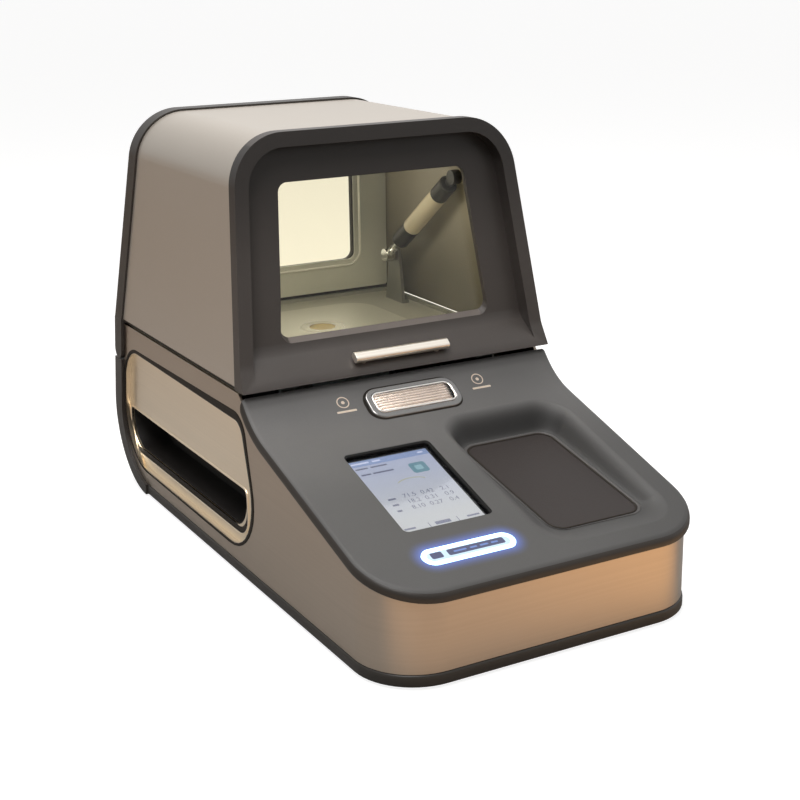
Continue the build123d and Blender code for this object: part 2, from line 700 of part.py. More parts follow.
def display_bezel():
    """Frame round the display; glass and panel sit in it from behind."""
    frame = screen_block(BEZEL_W, -BEZEL_H, -0.2) - screen_block(0, -BEZEL_H - 1, 1)
    return frame - screen_block(BEZEL_W - 1.0, -BEZEL_H - 1, -GLASS_DEPTH)


def touch_glass():
    return screen_block(BEZEL_W - 1.3, -GLASS_DEPTH - 1.3, -GLASS_DEPTH - 0.1)


def display_panel():
    return screen_block(BEZEL_W - 1.3, -BEZEL_H, -GLASS_DEPTH - 1.4)


def light_bar():
    """Clear diffuser ring of the status light, joined across its back."""
    ring = bar_block(0, -5.0, -0.1)
    return ring - bar_block(-BAR_RING, -3.0, 1)


def light_bar_inlay():
    """Dark plate inside the diffuser ring."""
    return bar_block(-BAR_RING - 0.2, -2.9, -0.1)


def lamp_reflector():
    """Bright tray behind the lens."""
    tray = lamp_block(-LAMP_RIM + 0.4, -7.0, -0.8)
    return tray - lamp_block(-LAMP_RIM - 0.8, -5.8, 0)


def lamp_rim():
    """Chromed frame of the warning lamp."""
    return lamp_block(0, -0.5, LAMP_PROUD) - lamp_block(-LAMP_RIM, -1, LAMP_PROUD + 1)


def lamp_lens():
    """Clear lens with ribs along it."""
    lens = lamp_block(-LAMP_RIM - 0.2, -0.4, LENS_PROUD)
    count = 9
    usable = LAMP_H - 2 * LAMP_RIM - 3.0
    for i in range(count):
        s = (i - (count - 1) / 2) * usable / (count - 1)
        groove = Pos(0, s) * Rectangle(LAMP_W - 2 * LAMP_RIM - 8, 0.7)
        lens -= on_plane(LAMP_PLANE, groove, LENS_PROUD - 0.8, LENS_PROUD + 1)
    return lens


# ---------------------------------------------------------------- chamber floor and optics

def chamber_floor():
    """Steel floor of the sample chamber, turned down at the rear in front of the hinge."""
    half = INNER_HALF
    z0 = BASE_TOP - CHAMBER_T
    floor = box(-half, half, CHAMBER_FRONT_Y, CHAMBER_REAR_Y, z0, BASE_TOP)
    floor += box(-INSIDE_HALF, INSIDE_HALF, CHAMBER_REAR_Y - CHAMBER_T, CHAMBER_REAR_Y,
                 REAR_SPLIT_Z - 2 * SHELL_T, BASE_TOP)
    floor -= Pos(0, SPOT_Y, z0) * Cylinder(SPOT_R, 4 * CHAMBER_T)
    floor -= Pos(INTERLOCK_X, INTERLOCK_Y, z0) * Cylinder(PLUNGER_R + 0.4, 4 * CHAMBER_T)
    return floor


def chamber_seal():
    """Rubber seal that the hood closes on."""
    half = INNER_HALF - SEAL_SET_IN
    y0, y1 = CHAMBER_FRONT_Y + 2 * SEAL_SET_IN, CHAMBER_REAR_Y - SEAL_SET_IN
    outer = Pos(0, (y0 + y1) / 2) * RectangleRounded(2 * half, y1 - y0, 8)
    inner = Pos(0, (y0 + y1) / 2) * RectangleRounded(2 * half - 2 * SEAL_W, y1 - y0 - 2 * SEAL_W, 4)
    return Pos(0, 0, BASE_TOP) * extrude(outer - inner, SEAM_GAP - JOIN)


def stage_plate():
    """Raised stage that the sample lies on."""
    middle = sum(STAGE_Y) / 2
    face = Pos(0, middle) * RectangleRounded(2 * STAGE_HALF_W, STAGE_Y[1] - STAGE_Y[0], STAGE_R)
    plate = Pos(0, 0, BASE_TOP + 0.05) * extrude(face, STAGE_T)
    plate = chamfer(plate.edges().group_by(Axis.Z)[-1], 1.5)
    plate -= Pos(0, SPOT_Y, BASE_TOP) * Cylinder(SPOT_R, 4 * STAGE_T)
    return plate - Pos(0, SPOT_Y, BASE_TOP + STAGE_T - RING_T) * Cylinder(RING_R + 0.2, RING_T + 1, align=LOW)


def aperture_ring():
    """Ring that holds the thin film over the measuring spot."""
    ring = Cylinder(RING_R, RING_T, align=LOW) - Cylinder(SPOT_R - 1, 3 * RING_T)
    ring -= Pos(0, 0, RING_T - 0.6) * Cylinder(SPOT_R + 1, 2, align=LOW)
    return Pos(0, SPOT_Y, BASE_TOP + STAGE_T - RING_T + 0.1) * ring


def aperture_film():
    z = BASE_TOP + STAGE_T - 0.45
    return Pos(0, SPOT_Y, z) * Cylinder(SPOT_R + 0.8, 0.3, align=LOW)


def beam_plane(distance, offset=0.0):
    """Plane across the tube's beam, this far from the spot and moved down across it."""
    half = sin(radians(45))
    spot_z = BASE_TOP - CHAMBER_T - 2.0
    origin = (0, SPOT_Y - half * distance + half * offset, spot_z - half * distance - half * offset)
    return Plane(origin=origin, x_dir=(1, 0, 0), z_dir=(0, -half, -half))


def detector_plane(distance):
    half = sin(radians(45))
    spot_z = BASE_TOP - CHAMBER_T - 2.0
    return Plane(origin=(0, SPOT_Y + half * distance, spot_z - half * distance), x_dir=(1, 0, 0),
                 z_dir=(0, half, -half))


def rod_on(plane, radius, length):
    return extrude(plane * Circle(radius), length)


def optics_block():
    """Machined block under the stage that holds tube nose, filter wheel, motor and detector."""
    half = OPTICS_W / 2
    block = box(-half, half, OPTICS_Y[0], OPTICS_Y[1], OPTICS_LOW_Z, BASE_TOP - CHAMBER_T - SEAT)
    block -= Pos(0, SPOT_Y, BASE_TOP) * Cylinder(SPOT_R, 60)
    block -= rod_on(beam_plane(0), TUBE_NOSE_R + JOIN, TUBE_NOSE[1] + 30)
    block -= rod_on(beam_plane(TUBE_NOSE[1] - 0.5), TUBE_BODY_R + SHIELD_T + 2 * JOIN, 60)
    block -= rod_on(detector_plane(0), DETECTOR_R + JOIN, 80)
    block -= rod_on(beam_plane(WHEEL_AT - 1.5, WHEEL_OFFSET), WHEEL_R + 1.2, WHEEL_T + 3.0)
    return block - rod_on(beam_plane(WHEEL_AT, WHEEL_OFFSET), MOTOR_R + JOIN, 60)


def xray_tube():
    tube = rod_on(beam_plane(TUBE_NOSE[0]), TUBE_NOSE_R, TUBE_NOSE[1] - TUBE_NOSE[0])
    return tube + rod_on(beam_plane(TUBE_NOSE[1]), TUBE_BODY_R, TUBE_BODY_END - TUBE_NOSE[1])


def tube_shield():
    """Heavy sleeve round the tube body, with a foot down to the pan."""
    start = TUBE_NOSE[1] + 1
    length = TUBE_BODY_END - start - 4
    outer_r = TUBE_BODY_R + JOIN + SHIELD_T
    sleeve = rod_on(beam_plane(start), outer_r, length)
    foot_y = SPOT_Y - sin(radians(45)) * (TUBE_BODY_END - SHIELD_FOOT_BACK)
    foot_top = beam_plane(TUBE_BODY_END - SHIELD_FOOT_BACK).origin.Z
    foot = box(-10, 10, foot_y - 8, foot_y + 8, PAN_Z + PAN_T + SEAT, foot_top)
    return sleeve + foot - rod_on(beam_plane(0), TUBE_BODY_R + JOIN, TUBE_BODY_END + 60)


def detector():
    """Detector head with its cooled body and preamplifier box."""
    body = rod_on(detector_plane(DETECTOR_START), DETECTOR_R, DETECTOR_END - DETECTOR_START)
    nose = rod_on(detector_plane(DETECTOR_START - 6), DETECTOR_R - 3, 7)
    return body + nose


def filter_motor():
    motor = rod_on(beam_plane(WHEEL_AT + WHEEL_T + 0.8, WHEEL_OFFSET), MOTOR_R, MOTOR_L)
    shaft = rod_on(beam_plane(WHEEL_AT - 1.2, WHEEL_OFFSET), 1.5, WHEEL_T + 4)
    return motor + shaft


def filter_wheel():
    """Disc with six filter holes that turns on the motor's shaft."""
    wheel = rod_on(beam_plane(WHEEL_AT, WHEEL_OFFSET), WHEEL_R, WHEEL_T)
    wheel -= rod_on(beam_plane(WHEEL_AT - 1, WHEEL_OFFSET), 1.5 + PIN_FIT, WHEEL_T + 2)
    plane = beam_plane(WHEEL_AT - 1, WHEEL_OFFSET)
    for i in range(6):
        turn = radians(90 + 60 * i)
        hole = Pos(WHEEL_OFFSET * cos(turn), WHEEL_OFFSET * sin(turn)) * Circle(FILTER_R)
        wheel -= extrude(plane * hole, WHEEL_T + 2)
    return wheel


def chassis_frame():
    """Two flanged side plates that carry the chamber floor."""
    z0 = PAN_Z + PAN_T + SEAT
    z1 = BASE_TOP - CHAMBER_T - SEAT
    y0, y1 = CHAMBER_FRONT_Y + 4, REAR_ARC_Y - 6
    plate = box(FRAME_X, FRAME_X + FRAME_T, y0, y1, z0, z1)
    for z in (z0, z1 - FRAME_T):
        plate += box(FRAME_X - FRAME_FLANGE, FRAME_X + 0.5, y0, y1, z, z + FRAME_T)
    plate -= across(Pos((y0 + y1) / 2, FRAME_HOLE_Z) * RectangleRounded(*FRAME_HOLE),
                    FRAME_X - 1, FRAME_X + FRAME_T + 1)
    plates = both(plate)
    for x, y in screw_places():
        plates -= Pos(x, y, z0) * Cylinder(SCREW_R + 0.1, 3 * FRAME_T)
    return plates


def hv_supply():
    z0 = PAN_Z + PAN_T + SEAT
    return fillet(box(*HV_X, *HV_Y, z0, z0 + HV_H).edges().filter_by(Axis.Z), HV_R)


# larger parts on the board: middle, footprint and height
CHIPS = ((-40, 60, 30, 30, 6), (10, 70, 22, 22, 4), (50, 50, 16, 34, 9), (0, 34, 60, 8, 8))


def mainboard():
    """Circuit board on four posts, with its larger chips and connectors."""
    z0 = PAN_Z + PAN_T + SEAT
    low, top = z0 + BOARD_UP, z0 + BOARD_UP + BOARD_T
    board = box(-BOARD_HALF_W, BOARD_HALF_W, *BOARD_Y, low, top)
    for x in (POST_IN - BOARD_HALF_W, BOARD_HALF_W - POST_IN):
        for y in (BOARD_Y[0] + POST_IN, BOARD_Y[1] - POST_IN):
            board += Pos(x, y, z0) * Cylinder(POST_R, BOARD_UP + BOARD_T / 2, align=LOW)
    for x, y, w, d, h in CHIPS:
        board += box(x - w / 2, x + w / 2, y - d / 2, y + d / 2, top - BOARD_T / 2, top + h)
    return board


def power_supply():
    """Metal case with vent slots in both sides."""
    z0 = PAN_Z + PAN_T + SEAT
    x1 = FRAME_X - SUPPLY_SIDE
    x0 = x1 - SUPPLY_W
    y0, y1 = SUPPLY_Y
    case = box(x0, x1, y0, y1, z0, z0 + SUPPLY_H)
    count = int((y1 - y0 - 2 * VENT_PITCH) // VENT_PITCH)
    vents = Sketch() + [Pos(y0 + 12 + VENT_PITCH * i, z0 + VENT_H) * Rectangle(VENT_W, VENT_H)
                        for i in range(count + 1)]
    return case - across(vents, x1 - VENT_DEEP, x1 + 1) - across(vents, x0 - 1, x0 + VENT_DEEP)


def camera_module():
    """Camera that looks at the sample, on the side of the optics block."""
    half = OPTICS_W / 2
    body = box(half + 0.1, half + 16, SPOT_Y - 10, SPOT_Y + 10, 104, 126)
    return body + Pos(half + 8, SPOT_Y, 125) * Cylinder(5, 4.5, align=LOW)


def fan_housing():
    """Square fan frame with a hub plate held by four struts."""
    y1 = BAY_Y - BAY_WALL - SEAT
    y0 = y1 - FAN_D
    frame = along(Pos(FAN_X, FAN_Z) * RectangleRounded(FAN_SIZE, FAN_SIZE, 4), y0, y1)
    frame -= along(Pos(FAN_X, FAN_Z) * Circle(FAN_BORE_R), y0 - 1, y1 + 1)
    struts = Sketch() + [Pos(FAN_X, FAN_Z) * Rot(0, 0, a) * Rectangle(2 * FAN_BORE_R + 2, 3) for a in (45, 135)]
    struts += Pos(FAN_X, FAN_Z) * Circle(FAN_HUB_R)
    frame += along(struts, y0, y0 + 2.0)
    return frame + along(Pos(FAN_X, FAN_Z) * Circle(2.0), y0, y1 - 5)


def fan_impeller():
    """Hub with seven pitched blades, running on the fan's axle."""
    y1 = BAY_Y - BAY_WALL - 2.0
    y0 = y1 - FAN_D + 5.0
    centre = Pos(FAN_X, FAN_Z)
    hub = along(centre * Circle(FAN_HUB_R), y0, y1)
    blades = []
    for i in range(7):
        blade = Pos(FAN_X, (y0 + y1) / 2, FAN_Z) * Rot(0, 360 / 7 * i, 0) * Pos(
            0, 0, (FAN_HUB_R + FAN_BLADE_R) / 2 - 1) * Rot(0, 0, 40) * Box(
                1.4, 13, FAN_BLADE_R - FAN_HUB_R + 2)
        blades.append(blade)
    wheel = hub + blades
    wheel &= along(centre * Circle(FAN_BLADE_R), y0, y1)
    return wheel - along(centre * Circle(2.0 + PIN_FIT), y0 - 1, y1 - 2)


def interlock_switch():
    """Safety switch under the chamber floor, with a bore for its plunger."""
    z1 = BASE_TOP - CHAMBER_T - SEAT
    body = box(INTERLOCK_X - 8, INTERLOCK_X + 8, INTERLOCK_Y - 6, INTERLOCK_Y + 6, z1 - 22, z1)
    return body - Pos(INTERLOCK_X, INTERLOCK_Y, z1 - 16) * Cylinder(PLUNGER_R + PIN_FIT, 30, align=LOW)


def interlock_plunger():
    """Plunger held down by the closed hood."""
    low = BASE_TOP - CHAMBER_T - 12
    pin = Pos(INTERLOCK_X, INTERLOCK_Y, low) * Cylinder(
        PLUNGER_R, BASE_TOP + PLUNGER_UP - low, align=LOW)
    return chamfer(pin.edges().group_by(Axis.Z)[-1], 0.6)


# ---------------------------------------------------------------- hood

def hood_skin():
    """Painted sheet bent over the top and both sides."""
    arch = hood_arch(FRAME_PROUD, HOOD_LOW) - hood_arch(FRAME_PROUD + SKIN_T, HOOD_LOW - 1)
    skin = along(arch, 0, 2 * FAR)
    skin &= hood_between(FRONT_FRAME_D + JOIN, REAR_BAND_D + JOIN)
    return skin


def hood_between(front_d, rear_d):
    """Everything between a plane behind the front face and one ahead of the rear face."""
    low, high = HOOD_LOW - 20, HOOD_TOP + 20
    points = [(front_y(low) + front_d, low), (rear_y(low) - rear_d, low),
              (rear_y(high) - rear_d, high), (front_y(high) + front_d, high)]
    return across(outline(points, {}), -FAR, FAR)


def hood_liner():
    """Pale painted inner sheet of the hood."""
    inset = FRAME_PROUD + SKIN_T + LINER_GAP
    low = HOOD_LOW + 1.0
    arch = hood_arch(inset, low) - hood_arch(inset + LINER_T, low - 1)
    return along(arch, 0, 2 * FAR) & hood_between(
        FRONT_FRAME_D + SLEEVE_D + JOIN, REAR_BAND_D + SLEEVE_D + JOIN) - across(
            Pos(*SPRING_TOP) * Circle(STUD_R + 0.2), 60, FAR)


def scoop_edge():
    """Front edge of the scoop's sloping foot, in the side view."""
    return front_y(HOOD_LOW) - FLARE_OUT, SCOOP_EDGE_Z


def scoop_foot():
    """Where the slope of the foot and the upright face of the scoop would meet."""
    edge_y, edge_z = scoop_edge()
    rise = (front_y(edge_z) + SCOOP_D - edge_y) / (1 / SCOOP_T - LEAN_T)
    return edge_y + rise / SCOOP_T, edge_z + rise


def front_frame():
    """Front moulding: rounded rim, scooped face, flared foot and window opening."""
    low = HOOD_LOW
    high = HOOD_TOP + 20
    flare = [(front_y(high), high), (front_y(FLARE_Z), FLARE_Z),
             (front_y(low) - FLARE_OUT, low), (front_y(low) + FRONT_FRAME_D, low),
             (front_y(high) + FRONT_FRAME_D, high)]
    frame = across(outline(flare, {1: FLARE_R}), -FAR, FAR) & along(hood_arch(0, low), 0, FAR * 2)
    sleeve_in = FRAME_PROUD + SKIN_T + JOIN
    sleeve = front_layer(FRONT_FRAME_D - 1, FRONT_FRAME_D + SLEEVE_D, low, high)
    frame += sleeve & along(hood_arch(sleeve_in, low), 0, FAR * 2)
    edge_y, edge_z = scoop_edge()
    past = FAR / 8
    scoop_top = [(front_y(high) - past, high), (front_y(high) + SCOOP_D, high), scoop_foot(),
                 (edge_y - past, edge_z - past * SCOOP_T), (edge_y - past, high)]
    scoop = across(outline(scoop_top, {2: SCOOP_R}), -FAR, FAR)
    frame -= scoop & along(hood_arch(RIM_W, low - 5), 0, FAR * 2)
    middle = front_y(WINDOW_LOW_Z)
    opening = along(window_face(0), 0, FAR * 2)
    wide = loft([Plane.XZ.offset(-(middle + SCOOP_D - 3)) * window_face(1.0, WINDOW_SILL),
                 Plane.XZ.offset(-(middle + SCOOP_D + 5)) * window_face(0)], ruled=True)
    return frame - opening - wide


def window_glass(layer):
    """Glass plate behind a frame; layer gives the slice of depth it fills."""
    return along(window_face(GLASS_LAP), 0, FAR * 2) & layer


def gasket(layer, glass_layer):
    """Rubber channel that grips the edge of the glass."""
    ring = along(window_face(GLASS_LAP + GASKET_T), 0, FAR * 2) & layer
    ring -= along(window_face(GASKET_CLEAR), 0, FAR * 2)
    return ring - (along(window_face(GLASS_LAP + 0.05), 0, FAR * 2) & glass_layer)


def slices(kind, start):
    """Depth slices of gasket and glass behind a frame, as solids."""
    low, high = HOOD_LOW, HOOD_TOP
    whole = kind(start, start + GLASS_T + 2 * GASKET_T, low, high)
    glass = kind(start + GASKET_T, start + GASKET_T + GLASS_T, low, high)
    glass_slot = kind(start + GASKET_T - 0.05, start + GASKET_T + GLASS_T + 0.05, low, high)
    return whole, glass, glass_slot


FRONT_STACK = FRONT_FRAME_D + SLEEVE_D + SEAT
REAR_STACK = REAR_BAND_D + SEAT


def front_window():
    return window_glass(slices(front_layer, FRONT_STACK)[1])


def front_gasket():
    whole, _, slot = slices(front_layer, FRONT_STACK)
    return gasket(whole, slot)


def rear_window():
    return window_glass(slices(rear_layer, REAR_STACK)[1])


def rear_gasket():
    whole, _, slot = slices(rear_layer, REAR_STACK)
    return gasket(whole, slot)


def rims_window(edge):
    """Whether an edge is the window's outer edge in the rear frame."""
    middle = edge.center()
    return (abs(rear_y(middle.Z) - middle.Y - REAR_DISH) < 0.2
            and abs(middle.X) < WINDOW_HALF_LOW + 1 and WINDOW_LOW_Z - 1 < middle.Z < WINDOW_TOP_Z + 1)


def rear_frame():
    """Rear moulding of the hood with its window and, at its foot, the barrel of the hinge."""
    low = HINGE_Z
    high = HOOD_TOP + 20
    frame = rear_layer(0, REAR_BAND_D, low, high) & along(hood_arch(0, HOOD_LOW), 0, FAR * 2)
    tail = rear_layer(0, REAR_BAND_D, low, HOOD_LOW + 1) & box(
        -HOOD_HALF_W, HOOD_HALF_W, 0, FAR * 2, 0, HOOD_LOW + 1)
    sleeve_in = FRAME_PROUD + SKIN_T + JOIN
    sleeve = rear_layer(REAR_BAND_D - 1, REAR_BAND_D + SLEEVE_D, HOOD_LOW, high)
    ring = along(hood_arch(sleeve_in, HOOD_LOW) - hood_arch(sleeve_in + 3.0, HOOD_LOW - 1), 0, FAR * 2)
    frame += tail + (sleeve & ring)
    frame += hinge_round(BARREL_R, -HOOD_HALF_W, HOOD_HALF_W)
    foot = HOOD_LOW + DISH_FOOT
    frame -= rear_layer(-5, REAR_DISH, foot, high) & along(hood_arch(RIM_W, foot), 0, FAR * 2)
    frame -= along(window_face(0), 0, FAR * 2)
    frame = chamfer(frame.edges().filter_by(rims_window), REAR_FLARE)
    for x in (-HINGE_X, HINGE_X):
        half = LEAF_W / 2 + JOIN
        notch = box(x - half, x + half, HINGE_Y - 30, HINGE_Y + 30, HINGE_Z - 20,
                    HINGE_Z + BARREL_R + BARREL_GAP)
        frame -= notch
        frame -= hinge_round(PIN_R + PIN_FIT, x - half - 12, x + half + 12)
    return frame


def hinge_leaves():
    """Two hinge leaves on the shelf of the rear shell."""
    leaves = []
    for x in (-HINGE_X, HINGE_X):
        half = LEAF_W / 2
        x0, x1 = x - half, x + half
        shelf = REAR_SPLIT_Z - SHELL_T + JOIN
        leaf = hinge_round(BARREL_R - 0.4, x0, x1)
        leaf += box(x0, x1, HINGE_Y - 4, HINGE_Y + 4, shelf, HINGE_Z)
        leaf += box(x0, x1, HINGE_Y - LEAF_FRONT, HINGE_Y + LEAF_REAR, shelf, shelf + LEAF_T)
        leaves.append(leaf - hinge_round(PIN_R + 0.01, x0 - 1, x1 + 1))
    return Part() + leaves


def hinge_pins():
    pins = [hinge_round(PIN_R, x - LEAF_W / 2 - 10, x + LEAF_W / 2 + 10) for x in (-HINGE_X, HINGE_X)]
    return Part() + pins


def handle_bar():
    """Pull bar on two posts, along the sloping foot of the hood."""
    edge_y, edge_z = scoop_edge()
    lean = radians(SCOOP_SLOPE)
    plane = Plane(origin=(0, edge_y + HANDLE_UP * cos(lean), edge_z + HANDLE_UP * sin(lean)),
                  x_dir=(1, 0, 0), z_dir=(0, -sin(lean), cos(lean)))
    bar = Pos(0, 0, HANDLE_GAP) * Box(HANDLE_L, HANDLE_H, HANDLE_T, align=LOW)
    bar = fillet(bar.edges().filter_by(Axis.X), HANDLE_EDGE_R)
    for x in (-HANDLE_POST_X, HANDLE_POST_X):
        bar += Pos(x, 0, 0.05) * Cylinder(HANDLE_POST_R, HANDLE_GAP + 1, align=LOW)
    return plane * bar


def interlock_tongue():
    """Steel tab on the hood's foot that presses the interlock plunger."""
    z0 = BASE_TOP + PLUNGER_UP + JOIN
    z1 = z0 + TONGUE_H
    y0 = front_y(z1) + FRONT_FRAME_D + SLEEVE_D + SEAT
    tab = box(INTERLOCK_X - 6, INTERLOCK_X + 6, y0, INTERLOCK_Y + 6, z0, z0 + 1.5)
    return tab + box(INTERLOCK_X - 6, INTERLOCK_X + 6, y0, y0 + 1.5, z0, z1)


# ---------------------------------------------------------------- gas spring

def spring_frame():
    """Plane whose local X runs down the gas spring, starting at the upper ball."""
    dy = SPRING_LOW[0] - SPRING_TOP[0]
    dz = SPRING_LOW[1] - SPRING_TOP[1]
    length = (dy * dy + dz * dz) ** 0.5
    along_dir = (0, dy / length, dz / length)
    return Plane(origin=(SPRING_X, SPRING_TOP[0], SPRING_TOP[1]), x_dir=(1, 0, 0),
                 z_dir=along_dir), length


def spring_end(place):
    """Socket of a ball joint, lying across the spring."""
    return Plane.YZ.offset(SPRING_X - SPRING_END_T / 2) * (
        Pos(*place) * extrude(Circle(SPRING_END_R), SPRING_END_T))


def stud_hole(place):
    return Plane.YZ.offset(SPRING_X - 0.5) * (
        Pos(*place) * extrude(Circle(STUD_R + PIN_FIT), SPRING_END_T))


def spring_cylinder():
    plane, _ = spring_frame()
    start, end = SPRING_BODY
    body = extrude(plane.offset(start) * Circle(SPRING_BODY_R), end - start)
    body = chamfer(body.edges(), 0.8)
    neck = extrude(plane.offset(3) * Circle(SPRING_NECK_R), start - 2)
    cylinder = body + neck + spring_end(SPRING_TOP) - stud_hole(SPRING_TOP)
    bore = extrude(plane.offset(start + 8) * Circle(SPRING_BODY_R - 1.2), end - start - 12)
    mouth = extrude(plane.offset(end - 6) * Circle(SPRING_ROD_R + PIN_FIT), 8)
    return cylinder - bore - mouth


def spring_rod():
    plane, length = spring_frame()
    end = SPRING_BODY[1]
    piston = extrude(plane.offset(end - PISTON_BACK) * Circle(SPRING_BODY_R - 1.3), PISTON_T)
    start = end - PISTON_BACK + PISTON_T / 3
    rod = extrude(plane.offset(start) * Circle(SPRING_ROD_R), length - start - 3)
    neck = extrude(plane.offset(length - 11) * Circle(SPRING_NECK_R), 8)
    return piston + rod + neck + spring_end(SPRING_LOW) - stud_hole(SPRING_LOW)


def spring_stud():
    """Stud on the hood's wall, through the liner, that carries the cylinder."""
    y, z = SPRING_TOP
    wall = hood_half(z) - FRAME_PROUD - SKIN_T - 1.0
    pin = Plane.YZ.offset(SPRING_X) * (Pos(y, z) * extrude(Circle(STUD_R), wall - SPRING_X))
    collar_start = SPRING_X + SPRING_END_T / 2 + 0.4
    collar = Plane.YZ.offset(collar_start) * (
        Pos(y, z) * extrude(Circle(4.5), liner_x(z) - 1.0 - collar_start))
    return pin + collar


def bracket_foot():
    """Middle of the lower bracket's foot on the chamber floor."""
    return SPRING_X + SPRING_END_T / 2 + 3.0, SPRING_LOW[0], BASE_TOP


def spring_bracket():
    """Steel bracket on the chamber floor that carries the rod's lower stud."""
    x, y, z = bracket_foot()
    plate = across(outline([(y - 14, z + SEAT), (y + 14, z + SEAT), (y + 7, SPRING_LOW[1] + 7),
                            (y - 7, SPRING_LOW[1] + 7)], {2: 5.0, 3: 5.0}), x - 1.0, x + 1.5)
    foot = box(x - 1.0, x + 5.0, y - 14, y + 14, z + SEAT, z + 2.6)
    return plate + foot


# ---------------------------------------------------------------- everything


NODES = {
    "bottom_trim": bottom_trim, "base_pan": base_pan, "rubber_feet": rubber_feet,
    "case_screws": case_screws, "base_wrap": base_wrap, "rear_shell": rear_shell,
    "rear_panel": rear_panel, "power_inlet": power_inlet, "power_switch_body": power_switch_body,
    "power_rocker": power_rocker, "port_block": port_block, "console_deck": console_deck,
    "tray_mat": tray_mat, "display_bezel": display_bezel, "touch_glass": touch_glass,
    "display_panel": display_panel, "light_bar": light_bar, "light_bar_inlay": light_bar_inlay,
    "lamp_reflector": lamp_reflector, "lamp_rim": lamp_rim,
    "lamp_lens": lamp_lens, "chamber_floor": chamber_floor, "chamber_seal": chamber_seal,
    "stage_plate": stage_plate, "aperture_ring": aperture_ring, "aperture_film": aperture_film,
    "optics_block": optics_block, "xray_tube": xray_tube, "tube_shield": tube_shield,
    "detector": detector, "filter_motor": filter_motor, "filter_wheel": filter_wheel,
    "chassis_frame": chassis_frame, "hv_supply": hv_supply, "mainboard": mainboard,
    "power_supply": power_supply, "camera_module": camera_module, "fan_housing": fan_housing,
    "fan_impeller": fan_impeller, "interlock_switch": interlock_switch,
    "interlock_plunger": interlock_plunger, "hinge_leaves": hinge_leaves,
    "hinge_pins": hinge_pins, "spring_bracket": spring_bracket, "hood_skin": hood_skin,
    "hood_liner": hood_liner, "front_frame": front_frame, "rear_frame": rear_frame,
    "front_window": front_window, "front_gasket": front_gasket, "rear_window": rear_window,
    "rear_gasket": rear_gasket, "handle_bar": handle_bar, "interlock_tongue": interlock_tongue,
    "spring_stud": spring_stud, "gas_spring_cylinder": spring_cylinder,
    "gas_spring_rod": spring_rod,
}


def write(name, shape):
    export_step(PLACE * shape, f"parts/{name}.step")


def main():
    os.makedirs("parts", exist_ok=True)
    for name, make in NODES.items():
        write(name, make())
    panel = grip_panel()
    write("grip_panel_right", panel)
    write("grip_panel_left", mirror(panel, about=Plane.YZ))
    write("grip_pockets", both(grip_pocket()))


main()
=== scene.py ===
import json
from math import asin, cos, pi, radians, sin, tan
import bmesh
import bpy
from mathutils import Matrix, Vector
from mathutils.geometry import delaunay_2d_cdt

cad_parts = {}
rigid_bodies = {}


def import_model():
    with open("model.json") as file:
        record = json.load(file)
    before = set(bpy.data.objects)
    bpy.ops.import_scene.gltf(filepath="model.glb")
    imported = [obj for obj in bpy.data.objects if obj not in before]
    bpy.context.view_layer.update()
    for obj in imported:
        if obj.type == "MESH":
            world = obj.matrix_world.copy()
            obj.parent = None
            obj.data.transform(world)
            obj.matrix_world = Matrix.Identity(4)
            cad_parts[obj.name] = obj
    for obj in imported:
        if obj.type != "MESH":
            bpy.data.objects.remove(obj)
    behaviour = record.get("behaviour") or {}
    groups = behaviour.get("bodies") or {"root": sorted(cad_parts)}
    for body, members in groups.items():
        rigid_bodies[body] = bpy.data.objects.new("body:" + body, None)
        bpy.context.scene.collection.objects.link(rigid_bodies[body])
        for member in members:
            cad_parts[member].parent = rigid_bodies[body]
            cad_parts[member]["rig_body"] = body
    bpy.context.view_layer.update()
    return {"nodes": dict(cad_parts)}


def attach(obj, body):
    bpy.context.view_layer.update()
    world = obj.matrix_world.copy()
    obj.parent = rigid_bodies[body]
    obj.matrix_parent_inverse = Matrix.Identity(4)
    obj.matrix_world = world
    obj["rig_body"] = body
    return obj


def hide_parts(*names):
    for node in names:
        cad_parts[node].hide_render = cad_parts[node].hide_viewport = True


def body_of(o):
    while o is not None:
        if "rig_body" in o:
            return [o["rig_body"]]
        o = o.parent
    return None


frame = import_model()
nodes = frame["nodes"]


# ---- Bench, camera and light ----
# A plain pale bench in a white room that lights things dimly.  Lamps hang overhead and at the
# left front, a faint warm one stands at the right front, and a small one is in the hood.
# Polished faces mirror a painted warm glow on the bench ahead of the base.

bpy.context.scene.view_settings.view_transform = "Standard"


def placed(name, data):
    """An object linked into the scene."""
    made = bpy.data.objects.new(name, data)
    bpy.context.scene.collection.objects.link(made)
    return made


def soft_light(name, place, aim, width, power, colour):
    """A round lamp that faces its aim and isn't seen itself."""
    lamp = bpy.data.lights.new(name, "AREA")
    lamp.shape = "DISK"
    lamp.size = width
    lamp.energy = power
    lamp.color = colour
    holder = placed(name, lamp)
    holder.location = place
    holder.rotation_mode = "QUATERNION"
    holder.rotation_quaternion = (Vector(aim) - Vector(place)).to_track_quat("-Z", "Y")
    holder.visible_camera = False


def node(tree, kind, links=(), **settings):
    """A shader node with its settings, and (input, source socket or value) pairs."""
    made = tree.nodes.new(kind)
    for key, value in settings.items():
        setattr(made, key, value)
    for key, source in links:
        if isinstance(source, bpy.types.NodeSocket):
            tree.links.new(source, made.inputs[key])
        else:
            made.inputs[key].default_value = source
    return made


def reckoned(tree, operation, *values, clamp=False):
    """The result of a Math node on sockets and numbers."""
    return node(tree, "ShaderNodeMath", list(enumerate(values)), operation=operation,
                use_clamp=clamp).outputs[0]


def ramped(tree, value, start, end, low, high, kind="SMOOTHSTEP"):
    """A value carried from one range to another, and held at both ends."""
    return node(tree, "ShaderNodeMapRange", [(0, value), (1, start), (2, end), (3, low), (4, high)],
                interpolation_type=kind).outputs[0]


